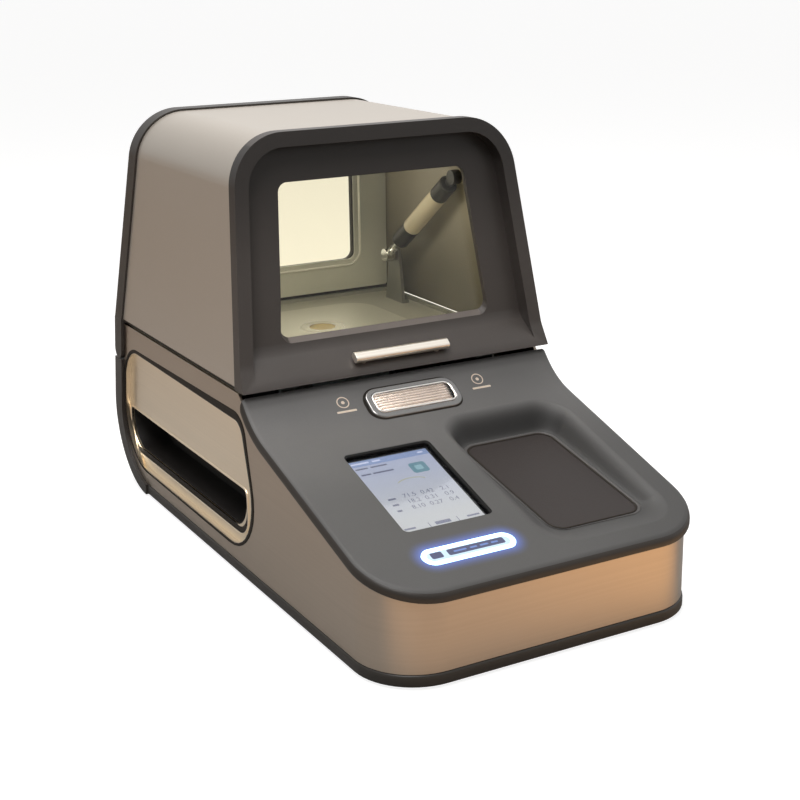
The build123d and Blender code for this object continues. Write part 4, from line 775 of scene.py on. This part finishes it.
# the tray sinks from its rim to a gently sloping floor, with a recess for the mat
FLOOR_LEAN = radians(11.3)
FLOOR_Z = 58.8  # height of the floor's plane over the front edge


def on_floor(x, s, depth=0.0):
    """A point at a distance up the tray's floor, below it by depth."""
    return here(x, s * cos(FLOOR_LEAN) + depth * sin(FLOOR_LEAN),
                FLOOR_Z + s * sin(FLOOR_LEAN) - depth * cos(FLOOR_LEAN))


FLOOR_S0, FLOOR_S1 = 29.0 / cos(FLOOR_LEAN), 146.0 / cos(FLOOR_LEAN)
FLOOR_S = (FLOOR_S0 + FLOOR_S1) / 2
FLOOR = (TRAY[0], FLOOR_S, 75.0, FLOOR_S1 - FLOOR_S0, 13.0)
rim3 = [on_deck(x, s) for x, s in rounded(*TRAY)]
floor3 = [on_floor(x, s) for x, s in rounded(*FLOOR)]
rings = [[on_deck(x, s) for x, s in rounded(*TRAY, 0.6)], rim3]
for across, down in ((0.07, 0.012), (0.15, 0.045), (0.24, 0.10), (0.34, 0.18), (0.44, 0.29),
                     (0.54, 0.42), (0.63, 0.56), (0.71, 0.69), (0.79, 0.81), (0.86, 0.90),
                     (0.92, 0.96), (0.97, 0.99)):
    rings.append([Vector((a.x + (b.x - a.x) * across, a.y + (b.y - a.y) * across,
                          a.z + (b.z - a.z) * down)) for a, b in zip(rim3, floor3)])
rings.append(floor3)
for inset, depth in ((0.4, 0.0), (3.2, 0.0), (3.5, 0.12), (3.6, 0.4), (3.6, 1.7)):
    rings.append([on_floor(x, s, depth) for x, s in rounded(*FLOOR, -inset)])
add_rings(rings, True, floor=True)

deck_grey = moulding("deck_grey", (0.084, 0.082, 0.080), 0.52, 0.00010, 1900.0, 0.3)


def painted_light_on(material, scales):
    """Multiplies a material's colour by values worked out in its tree, which paint light and shade
    on it.
    """
    tree = material.node_tree
    base = tree.nodes["Principled BSDF"].inputs["Base Color"]
    for scale in scales:
        tree.links.new(scaled(tree, base.links[0].from_socket, scale), base)


def along(tree, point, way, start=(0, 0, 0)):
    """How far a point lies from a start, measured along a direction."""
    off_by = node(tree, "ShaderNodeVectorMath", [(0, point), (1, start)], operation="SUBTRACT")
    return node(tree, "ShaderNodeVectorMath", [(0, off_by.outputs[0]), (1, way)],
                operation="DOT_PRODUCT").outputs["Value"]


# painted shade and light: the moulding is darkened in the tray, where it faces down over the lip
# and toward the right, and lightened up its steep part
UP_SLOPE = Vector((0.0, cos(SLOPE), sin(SLOPE)))
OFF_SLOPE = Vector((0.0, -sin(SLOPE), cos(SLOPE)))
tree = deck_grey.node_tree
spot = node(tree, "ShaderNodeTexCoord").outputs["Object"]
where, facing = axes(tree), axes(tree, "Normal")
above = along(tree, spot, OFF_SLOPE, on_deck(0, 60.0))
painted_light_on(deck_grey, [ramped(tree, above, -0.0075, -0.0004, 0.66, 1.0),
                  ramped(tree, where["Z"], 0.088, 0.116, 0.98, 1.60),
                  ramped(tree, facing["Z"], 0.05, 0.62, 0.35, 1.0),
                  ramped(tree, where["X"], -0.02, 0.11, 1.0, 0.84)])

# how near a point is to the light bar, for a painted glow that spills on the moulding round it
halo, given, made = effect(
    "bar_halo", [("Reach", "NodeSocketFloat", 0.010)], [("Mask", "NodeSocketFloat")])
bar_middle = on_deck(*BAR[:2])
bar_run, bar_wide = 0.025, 0.0073  # half its straight run, and half its width
across = axes(halo)["X"]
side = reckoned(halo, "ABSOLUTE", reckoned(halo, "SUBTRACT", across, bar_middle.x))
side = reckoned(halo, "MAXIMUM", reckoned(halo, "SUBTRACT", side, bar_run), 0.0)
up = along(halo, node(halo, "ShaderNodeTexCoord").outputs["Object"], UP_SLOPE, bar_middle)
span = node(halo, "ShaderNodeCombineXYZ", [(0, side), (1, up)])
reach = node(halo, "ShaderNodeVectorMath", [(0, span.outputs[0])], operation="LENGTH")
past = reckoned(halo, "SUBTRACT", reach.outputs["Value"], bar_wide)
past = reckoned(halo, "DIVIDE", past, given.outputs["Reach"])
left_over = reckoned(halo, "SUBTRACT", 1.0, past, clamp=True)
halo.links.new(reckoned(halo, "POWER", left_over, 2.2), made.inputs["Mask"])
tree = deck_grey.node_tree
near_bar = node(tree, "ShaderNodeGroup", node_tree=halo)
shader = tree.nodes["Principled BSDF"]
tree.links.new(scaled(tree, (0.055, 0.132, 0.55), near_bar.outputs["Mask"]),
               shader.inputs["Emission Color"])
shader.inputs["Emission Strength"].default_value = 1.0
deck = finished("console_moulding", points, faces, deck_grey, "base", ["console_deck"],
                50)

# painted shade: the rolled lip is given a near-black colour
lip_painted_shade = moulding("lip_painted_shade", (0.022, 0.017, 0.013), 0.45)
deck.data.materials.append(lip_painted_shade)
LIP_SHADE_IN = 1.6  # of the lip, in from its outermost edge
brink = round_front(LIP_OUT - LIP_SHADE_IN, DECK_END_Y, side_stops)
for face in deck.data.polygons:
    if not inside((face.center.x * 1000, face.center.y * 1000 + FRONT_Y), brink):
        face.material_index = 1


# ---- Tray mat ----
# A thin dark rubber mat is let into the tray's floor.  A soft black line fills the gap round it,
# and a low grey curb, widest on the far side, stands outside the line as a painted highlight.

dress(["tray_mat"], moulding("mat_rubber", (0.030, 0.024, 0.022), 0.52, 0.00015, 900.0, 0.25))
on_tray = lambda x, s, up: on_floor(x, s, -up)
beaded("mat_gap", rounded(*FLOOR, -3.5), oval(0.8, 0.3, 0.0, 0.22), seal_rubber, "base",
       on_tray)
on_far_side = lambda x, s: 0.12 + 0.88 * share_of(max(x - 70.0, s - FLOOR_S - 20.0), 0.0, 15.0)
# painted highlight: the curb keeps the moulding's undarkened grey, a lit strip along the mat's edge
curb_grey_highlight = moulding("curb_grey_highlight", (0.085, 0.080, 0.077), 0.45, 0.00003, 1900.0, 0.35)
beaded("mat_curb", rounded(*FLOOR, -1.5), oval(1.1, 0.5), curb_grey_highlight, "base",
       on_tray, on_far_side)


# ---- Display ----
# A black bezel, a touch glass and a lit panel behind it.  The panel shows a title bar, a tile
# and rows of readings.

softened("display_bezel", 0.5,
         moulding("bezel_black", (0.008, 0.008, 0.008), 0.65, 0.00005, 2500.0, 0.12))


def glowing(name, colour, strength, base=(0.02, 0.02, 0.03)):
    """Lit plastic whose glow varies a little over its surface."""
    material, tree, shader = blank(name)
    shader.inputs["Base Color"].default_value = (*base, 1)
    shader.inputs["Roughness"].default_value = 0.35
    shader.inputs["Emission Strength"].default_value = strength
    spot = node(tree, "ShaderNodeTexCoord").outputs["Object"]
    cloud = node(tree, "ShaderNodeTexNoise", [("Vector", spot), ("Scale", 22.0)]).outputs[0]
    shade = ramped(tree, cloud, 0.0, 1.0, 0.92, 1.08, "LINEAR")
    tree.links.new(scaled(tree, colour, shade), shader.inputs["Emission Color"])
    return material


panel = glowing("panel_lilac", (0.46, 0.47, 0.48), 1.08)
tree = panel.node_tree
height = along(tree, node(tree, "ShaderNodeTexCoord").outputs["Object"], UP_SLOPE)
low, high = (on_deck(0, s).dot(UP_SLOPE) for s in (70.0, 138.0))
rise = ramped(tree, height, low, high, 0.0, 1.0, "LINEAR")
tone = node(tree, "ShaderNodeMix",
            [(0, rise), (6, (0.47, 0.48, 0.48, 1)), (7, (0.36, 0.40, 0.54, 1))], data_type="RGBA")
tree.links.new(tone.outputs[2], tree.nodes["Principled BSDF"].inputs["Emission Color"])
dress(["display_panel"], panel)


def clear(name, colour, roughness, ior, level=0.5):
    """Clear glass or plastic with a faint tint."""
    material, _, shader = blank(name)
    for label, value in (("Base Color", (*colour, 1)), ("Roughness", roughness), ("IOR", ior),
                         ("Specular IOR Level", level), ("Transmission Weight", 1.0)):
        shader.inputs[label].default_value = value
    return material


clear_glass = clear("clear_glass", (0.96, 0.97, 0.98), 0.04, 1.45, 0.25)
dress(["touch_glass", "lamp_lens"], clear_glass)


def printed(name, shapes, material, depth):
    """Flat marks laid on the deck's slope: closed lines, or letters as points and faces."""
    points, faces = [], []
    for shape in shapes:
        line, cells = shape if isinstance(shape, tuple) else (shape, [tuple(range(len(shape)))])
        faces += [tuple(len(points) + i for i in cell) for cell in cells]
        points += [on_deck(x, s, depth) for x, s in line]
    finished(name, points, faces, material, "base", ())


def lettered(text, x, s, size):
    """Numerals as flat points and faces, starting at x, s."""
    curve = bpy.data.curves.new("numerals", "FONT")
    curve.body = text
    curve.size = size
    curve.resolution_u = 3
    mesh = as_mesh(placed("numerals", curve))
    return ([(x + v.co.x, s + v.co.y) for v in mesh.vertices],
            [tuple(f.vertices) for f in mesh.polygons])


LEFT, TOP = -45.8 - 30.8, 97.0 + 41.5  # the lit area's corner, from its middle and half size
MASK_DEPTH, BACK_DEPTH, MARK_DEPTH = 3.73, 3.76, 3.74  # below the deck, just over the panel


def oblong(x, down, w, h, r=0.3):
    """A rounded bar on the panel, placed from the lit area's top left corner."""
    return rounded(LEFT + x + w / 2, TOP - down - h / 2, w, h, min(r, h / 2.01), 0.0, 3)


ink = glowing("screen_ink", (0.12, 0.13, 0.20), 1.0)
# a black mask round the lit area, open at the bottom and widest at the top and right, where it is a
# painted shadow of the recess
mask_and_shadow_line = [(LEFT + x, TOP - y)
              for x, y in ((-1.2, 84.2), (-1.2, -1.2), (62.8, -1.2), (62.8, 84.2))]
mask_and_shadow_line += [(LEFT + x, TOP - y) for x, y in ((59.6, 84.2), (59.6, 2.6), (0.2, 2.6), (0.2, 84.2))]
strip_faces = [(0, 1, 6, 7), (1, 2, 5, 6), (2, 3, 4, 5)]
printed("screen_mask", [(mask_and_shadow_line, strip_faces)],
        moulding("mask_and_shadow_black", (0.006, 0.006, 0.007), 0.5), MASK_DEPTH)
blue = glowing("screen_blue", (0.23, 0.31, 0.52), 1.0)
teal = glowing("screen_teal", (0.13, 0.27, 0.32), 1.0)
amber = glowing("screen_amber", (0.42, 0.42, 0.22), 1.0)
printed("screen_title", [oblong(0, 2.0, 61.6, 6.5)], blue, BACK_DEPTH)
printed("screen_tile", [oblong(39, 15.0, 12.0, 11.0, 2.0)], teal, BACK_DEPTH)
printed("screen_tile_mark", [oblong(42.2, 18.0, 5.6, 5.0, 1.0)],
        glowing("tile_mark", (0.28, 0.46, 0.52), 1.0), MARK_DEPTH)
bars = [oblong(2.5, 4.6, 13, 1.6), oblong(18, 4.6, 6, 1.6), oblong(52, 4.6, 4, 1.6)]
printed("screen_title_words", bars,
        glowing("title_words", (0.62, 0.66, 0.80), 1.0), MARK_DEPTH)
bars = [oblong(3, 10.5, 9, 1.4), oblong(14, 10.5, 12, 1.4), oblong(4, 17.0, 7, 1.5),
        oblong(12.5, 17.0, 15, 1.5)]
bars += [oblong(3, 76.5, 8, 1.6), oblong(25.0, 75.8, 11, 3.0), oblong(48, 76.5, 9, 1.6)]
bars += [oblong(20.5, 75.0, 0.5, 5), oblong(41.0, 75.0, 0.5, 5)]
for row in range(3):
    bars.append(oblong(8.0, 45.8 + 6.2 * row, 5.5 - row, 1.8))
printed("screen_words", bars, ink, MARK_DEPTH)
bow_turns = [0.35 + i * 0.22 for i in range(12)]
bow = [(LEFT + 33 + 11 * cos(a), TOP - 34 + 5 * sin(a)) for a in bow_turns]
bow += [(LEFT + 33 + 10.2 * cos(a), TOP - 34 + 4.3 * sin(a)) for a in bow_turns[::-1]]
printed("screen_curve", [bow], amber, BACK_DEPTH)
numbers = []
readings = (("71.5", "0.42", "2.1"), ("18.2", "0.31", "0.9"), ("8.10", "0.27", "0.4"))
for row, texts in enumerate(readings):
    down = 47.5 + 6.2 * row
    for text, x in zip(texts, (19.0, 32.0, 46.5)):
        numbers.append(lettered(text, LEFT + x, TOP - down, 5.6))
printed("screen_numbers", numbers, ink, MARK_DEPTH)


# ---- Light bar ----
# A clear ring lit from below in white and blue.  Inside it is a lit plate with two plain dark
# windows and a few blue dashes.

dress(["light_bar"], glowing("ring_light", (0.42, 0.70, 1.0), 3.2, (0.7, 0.8, 0.9)))
dress(["light_bar_inlay"], glowing("plate_light", (0.66, 0.86, 1.0), 1.0))
dark_plate = glowing("bar_window", (0.05, 0.06, 0.14), 1.0)
windows = [rounded(x, 29.6, w, 5.6, 1.2, 0.0, 4) for x, w in ((-69.3, 8.0), (-41.6, 40.0))]
printed("bar_windows", windows, dark_plate, 0.07)
dashes = [rounded(x, 29.6, w, 1.5, 0.6, 0.0, 3)
          for x, w in ((-53.0, 9.0), (-43.5, 5.0), (-36.0, 6.0), (-28.5, 5.0))]
printed("bar_dashes", dashes, glowing("bar_dash", (0.16, 0.26, 0.62), 0.9), 0.05)


# ---- Lamp ----
# A chromed rim in a rubber gasket holds a clear domed cover with a bright line round it.
# Under the cover lies a ribbed metal tray, and a small plain mark is printed on each side.

chrome = brushed("lamp_chrome", (0.26, 0.255, 0.25), 0.20, (40.0, 40.0, 40.0), 1.0, 0.03)
softened("lamp_rim", 1.3, chrome, 3)
dress(["lamp_reflector"], chrome)
LAMP_Y, LAMP_Z, LAMP_LEAN = deck_at(LAMP_S)


def on_lamp(x, v, depth=0.0):
    """A point on the lamp's own flat face, below it by depth."""
    return here(x, LAMP_Y + v * cos(LAMP_LEAN) + depth * sin(LAMP_LEAN),
                LAMP_Z + v * sin(LAMP_LEAN) - depth * cos(LAMP_LEAN))


# the tray's floor is a row of half-round ribs, which lie along the lamp
rib_metal = brushed("lamp_ribs", (0.92, 0.83, 0.76), 0.22, (3.0, 3.0, 3.0), 0.75, 0.03)
RIBS, RIB_PITCH, RIB_R, RIB_RISE, RIB_RUN = 8, 2.1, 0.80, 1.5, 27.0
section = []
for i in range(RIBS):
    mid = (i - (RIBS - 1) / 2) * RIB_PITCH
    section += [(mid - RIB_R * cos(k * pi / 8), -0.2 - RIB_RISE * sin(k * pi / 8))
                for k in range(9)]
    section.append((mid + 1.0, 0.6))
rows = []
for x in (-29.2, -28.4, -RIB_RUN, RIB_RUN, 28.4, 29.2):
    fall = max(0.0, abs(x) - RIB_RUN) * 0.45
    rows.append([on_lamp(x, v, up + fall + 0.6) for v, up in section])
finished("lamp_ribbed_tray", joined(rows), strips(rows), rib_metal, "base", (), 60)

# clear cover, domed a little and rounded at its edge
COVER = (0, 0, 61.6, 16.6, 5.0)
rings = []
for grow, depth in ((-0.3, 0.3), (-0.2, -2.2), (-0.5, -3.2), (-1.2, -3.9), (-2.4, -4.3),
                    (-4.4, -4.6), (-6.8, -4.7)):
    rings.append([on_lamp(x, v, depth) for x, v in rounded(*COVER, grow, 6)])
count = len(rings[0])
faces = strips(rings, True) + [tuple(range(count)), tuple(range(6 * count, 7 * count))]
cover = clear("lamp_cover", (0.95, 0.94, 0.92), 0.03, 1.25)
finished("lamp_cover", joined(rings), faces, cover, "base", ["lamp_lens"], 50)
bright = brushed("lamp_bright", (0.93, 0.92, 0.90), 0.14, (40.0, 40.0, 40.0), 1.0, 0.02)
beaded("lamp_bright_line", rounded(*COVER, 0.1, 6), oval(0.62, 0.5), bright, "base",
       lambda x, v, up: on_lamp(x, v, -3.3 - up))
beaded("lamp_gasket", rounded(*LAMP, 0.3, 8), oval(0.7, 0.45), seal_rubber, "base",
       lambda x, s, up: on_deck(x, s, -0.1 - up))

mark_ink = moulding("mark_cream", (0.66, 0.55, 0.44), 0.5, 0.00001, 900.0)
marks = []
turns24 = [i * pi / 12 for i in range(24)]
for x, v in ((-51.5, 187.0), (56.0, 187.0)):
    ring = [(x + r * cos(a), v + 5.2 + r * sin(a)) for r in (4.6, 3.8) for a in turns24]
    marks.append((ring, [(i, (i + 1) % 24, 24 + (i + 1) % 24, 24 + i) for i in range(24)]))
    marks += [rounded(x, v + 5.2, 2.6, 2.6, 1.25, 0.0, 4),
              rounded(x, v - 2.4, 15.0, 1.7, 0.6, 0.0, 3)]
printed("deck_marks", marks, mark_ink, -0.12)


# ---- Chamber floor, stage and aperture ----
# The painted steel floor carries a raised stage with a steel ring and a thin film over the
# measuring spot.  The hood closes on a grey rubber seal.

chamber_paint = moulding("chamber_paint", (0.50, 0.49, 0.42), 0.40, 0.00004, 1200.0)
dress(["chamber_floor"], chamber_paint)
dress(["chamber_seal"], moulding("seal_grey", (0.34, 0.34, 0.29), 0.6, 0.00005, 1500.0))
aluminium = brushed("stage_aluminium", (0.66, 0.65, 0.58), 0.34, (3.0, 500.0, 3.0), 0.5, 0.05)
dress(["stage_plate"], aluminium)
dress(["aperture_ring"],
      brushed("ring_steel", (0.72, 0.70, 0.64), 0.25, (40.0, 40.0, 40.0), 1.0, 0.03))
dress(["aperture_film"], moulding("spot_film", (0.45, 0.33, 0.10), 0.18, 0.00001, 500.0))


# ---- Inside the base ----
# Two flanged side plates carry the chamber floor.  Under the stage are an aluminium block with
# a camera on its side, the tube in a brass shield, the detector and a filter wheel on its
# motor.  Two supplies in metal cases and a circuit board stand on the pan.

dress(["chassis_frame"], zinc_sheet)
dress(["optics_block"], aluminium)
dress(["tube_shield"], brushed("shield_brass", (0.55, 0.42, 0.20), 0.34))
steel_parts = brushed("steel_parts", (0.50, 0.50, 0.49), 0.32)
dress(["xray_tube", "detector", "filter_motor", "filter_wheel"], steel_parts)
dress(["mainboard", "camera_module"],
      moulding("board_green", (0.02, 0.14, 0.06), 0.35, 0.00003, 1500.0))
dress(["hv_supply", "power_supply"], brushed("supply_case", (0.42, 0.42, 0.43), 0.4))


# ---- Hinge and interlock ----
# Two steel leaves on the rear moulding's shelf turn on bright pins.  A steel tab on the hood's
# foot presses the plunger of a black switch.

dress(["hinge_leaves", "interlock_tongue"], steel_parts)
dress(["hinge_pins", "interlock_plunger"], bright_screw)
dress(["interlock_switch"], connector_black)


# ---- Hood skin and liner ----
# Painted steel sheet in a satin metallic taupe, bent over the top and both sides between the
# two frames.  A painted inner sheet lines it, and a black strip edges the foot of each side.

dress(["hood_skin"], brushed("hood_taupe", (0.515, 0.465, 0.405), 0.40, (500.0, 500.0, 500.0),
                             0.6, 0.03, 0.12))
liner_paint = moulding("liner_paint", (0.25, 0.225, 0.175), 0.36, 0.00001, 3500.0)
# painted light: the liner is darkened low down and lightened higher up
height = axes(liner_paint.node_tree)["Z"]
painted_light_on(liner_paint, [ramped(liner_paint.node_tree, height, 0.16, 0.25, 0.70, 1.45)])
dress(["hood_liner"], liner_paint)
HOOD_DRAFT = 0.09505  # how much the hood's sides lean in for each millimetre up
SKIN_HALF, SKIN_LOW = 119.86, 136.5
points, faces = [], []
for side in (-1, 1):
    corners = [(side * (SKIN_HALF - (z - SKIN_LOW) * HOOD_DRAFT + out_by), y, z)
               for y in (203.2, 426.0)
               for z, out_by in ((SKIN_LOW, -0.3), (SKIN_LOW, 0.12), (137.6, 0.12), (137.6, -0.3))]
    start = len(points)
    points += [here(*c) for c in corners]
    faces += [tuple(start + i for i in f) for f in ((0, 1, 2, 3), (4, 5, 6, 7), (0, 1, 5, 4),
                                                    (1, 2, 6, 5), (2, 3, 7, 6), (3, 0, 4, 7))]
finished("hood_edging", points, faces, seal_rubber, "hood", ())


# ---- Front and rear frames ----
# Near-black mouldings with rounded rims close the hood's two ends.  The front one's scooped
# face holds the window and slopes forward to the foot of the hood.

front_black = moulding("front_black", (0.025, 0.0215, 0.0195), 0.42, 0.00006, 2000.0, 0.4)
# painted light: it is made paler low down, and where it faces up
tree = front_black.node_tree
height, facing = axes(tree)["Z"], axes(tree, "Normal")["Z"]
painted_light_on(front_black, [ramped(tree, height, 0.20, 0.285, 2.7, 1.0),
                    ramped(tree, facing, 0.30, 0.77, 1.0, 1.10),
                    ramped(tree, facing, 0.78, 0.82, 1.0, 2.2)])
FRONT_FACE_Y = 192.1  # at the hood's seam, leaning back as the rear face leans forward


def rim_share(middle):
    """Full roll on the frame's foremost edges, and a small one on the others."""
    foremost = FRONT_FACE_Y + (middle.z - SEAM_Z) * REAR_LEAN
    return 1.0 if abs(middle.y - foremost) < 0.4 else 0.3


softened("front_frame", 4.6, front_black, 6, 35, rim_share)
softened("rear_frame", 2.0, shell_black, 3)


# ---- Windows ----
# Clear panes with a faint yellow-green tint, one in the front frame and one in the rear.  Each
# is held in a black rubber channel.

pane = clear("window_pane", (0.94, 0.905, 0.78), 0.01, 1.3)
dress(["front_window", "rear_window"], pane)
dress(["front_gasket", "rear_gasket"], rubber)


# ---- Rear lining ----
# Inside the hood a pale moulded panel covers the rear frame.  A raised cream bead runs round
# its window.

HOOD_HALF, HOOD_TOP, HOOD_BEND = 121.5, 301.0, 38.0  # half width at the seam, top, upper bends
PANE_LOW, PANE_TOP, PANE_HALF = 164.5, 266.5, 82.3


def arch_line(inset, low, steps=8):
    """Front view of the hood's inner walls at an inset from its outer face."""
    half = lambda z: HOOD_HALF - (z - SEAM_Z) * HOOD_DRAFT - inset
    top = HOOD_TOP - inset
    return filleted([(-half(low), low), (half(low), low), (half(top), top), (-half(top), top)],
                    (2.0, 2.0, HOOD_BEND - inset, HOOD_BEND - inset), steps)


def window_line(grow, steps=6):
    """Front view of the rear window's edge, grown outwards."""
    low, top = PANE_LOW - grow, PANE_TOP + grow
    half = lambda z: PANE_HALF + grow - (z - PANE_LOW) * HOOD_DRAFT
    return filleted([(-half(low), low), (half(low), low), (half(top), top), (-half(top), top)],
                    (7.0 + grow,) * 4, steps)


def in_rear(x, z, depth):
    """A point ahead of the leaning rear face by depth."""
    return here(x, rear_at(z) - depth, z)


def panelled(name, outer, hole, depth, thick, material, body, place):
    """A flat panel between two lines, with its edges turned."""
    flat = [Vector(p) for p in outer + hole]
    n, m = len(outer), len(hole)
    edges = [(i, (i + 1) % n) for i in range(n)] + [(n + i, n + (i + 1) % m) for i in range(m)]
    laid, _, cells, _, _, _ = delaunay_2d_cdt(flat, edges, [list(range(n))], 1, 1e-4)
    faces = [tuple(c) for c in cells
             if not inside(sum((laid[i] for i in c), Vector((0, 0))) / len(c), hole)]
    points = [place(v.x, v.y, level) for level in (depth, depth - thick) for v in laid]
    k = len(laid)
    faces += [tuple(k + i for i in reversed(f)) for f in faces]
    for ring in (outer, hole):
        first = [min(range(k), key=lambda i: (laid[i] - Vector(p)).length) for p in ring]
        faces += [(a, b, b + k, a + k) for a, b in zip(first, first[1:] + first[:1])]
    return finished(name, points, faces, material, body, ())


lining = moulding("lining_grey", (0.40, 0.40, 0.35), 0.42, 0.00005, 1500.0)
# painted light: the lining is lightened low down
height = axes(lining.node_tree)["Z"]
painted_light_on(lining, [ramped(lining.node_tree, height, 0.15, 0.21, 1.8, 1.0)])
panelled("rear_lining", arch_line(7.6, 139.5), window_line(-1.6), 23.4, 1.6, lining, "hood",
         in_rear)
bead_cream = moulding("bead_cream", (0.90, 0.89, 0.82), 0.35)
beaded("rear_bead", window_line(3.2), oval(1.1, 0.9), bead_cream, "hood",
       lambda x, z, up: in_rear(x, z, 23.8 + up))


# ---- Pull bar ----
# A champagne-plated bar, brushed lengthways, on two posts along the foot of the hood.  It
# turns with the hood.

softened("handle_bar", 0.8, brushed("bar_champagne", (0.98, 0.90, 0.80), 0.30,
                                    (3.0, 700.0, 700.0), 1.0, 0.45))


# ---- Gas spring ----
# A black lacquered cylinder with a cream sleeve pivots on a steel stud in the hood, and its
# chromed rod runs down to a zinc-plated bracket.

sleeve, given, made = effect(
    "sleeve_band", [("From", "NodeSocketFloat", 0.028), ("To", "NodeSocketFloat", 0.080)],
    [("Mask", "NodeSocketFloat")])
ball, foot = here(95.0, 277.0, 250.0), here(95.0, 382.0, 172.5)
spot = node(sleeve, "ShaderNodeTexCoord").outputs["Object"]
down_spring = along(sleeve, spot, (foot - ball).normalized(), ball)
past = reckoned(sleeve, "GREATER_THAN", down_spring, given.outputs["From"])
short = reckoned(sleeve, "LESS_THAN", down_spring, given.outputs["To"])
sleeve.links.new(reckoned(sleeve, "MULTIPLY", past, short), made.inputs["Mask"])
spring_paint = moulding("spring_lacquer", (0.014, 0.012, 0.010), 0.38, 0.0, 60.0)
tree = spring_paint.node_tree
shader = tree.nodes["Principled BSDF"]
black_coat = shader.inputs["Base Color"].links[0].from_socket
band = node(tree, "ShaderNodeGroup", node_tree=sleeve)
tone = node(tree, "ShaderNodeMix",
            [(0, band.outputs[0]), (6, black_coat), (7, (0.68, 0.60, 0.44, 1))], data_type="RGBA")
tree.links.new(tone.outputs[2], shader.inputs["Base Color"])
dress(["spring_stud"], brushed("stud_steel", (0.66, 0.64, 0.60), 0.22, (3.0, 400.0, 400.0)))
dress(["gas_spring_cylinder"], spring_paint)
dress(["spring_bracket"], zinc_sheet)
dress(["gas_spring_rod"], brushed("rod_steel", (0.7, 0.7, 0.68), 0.12, (3.0, 3.0, 3.0), 1.0, 0.03))
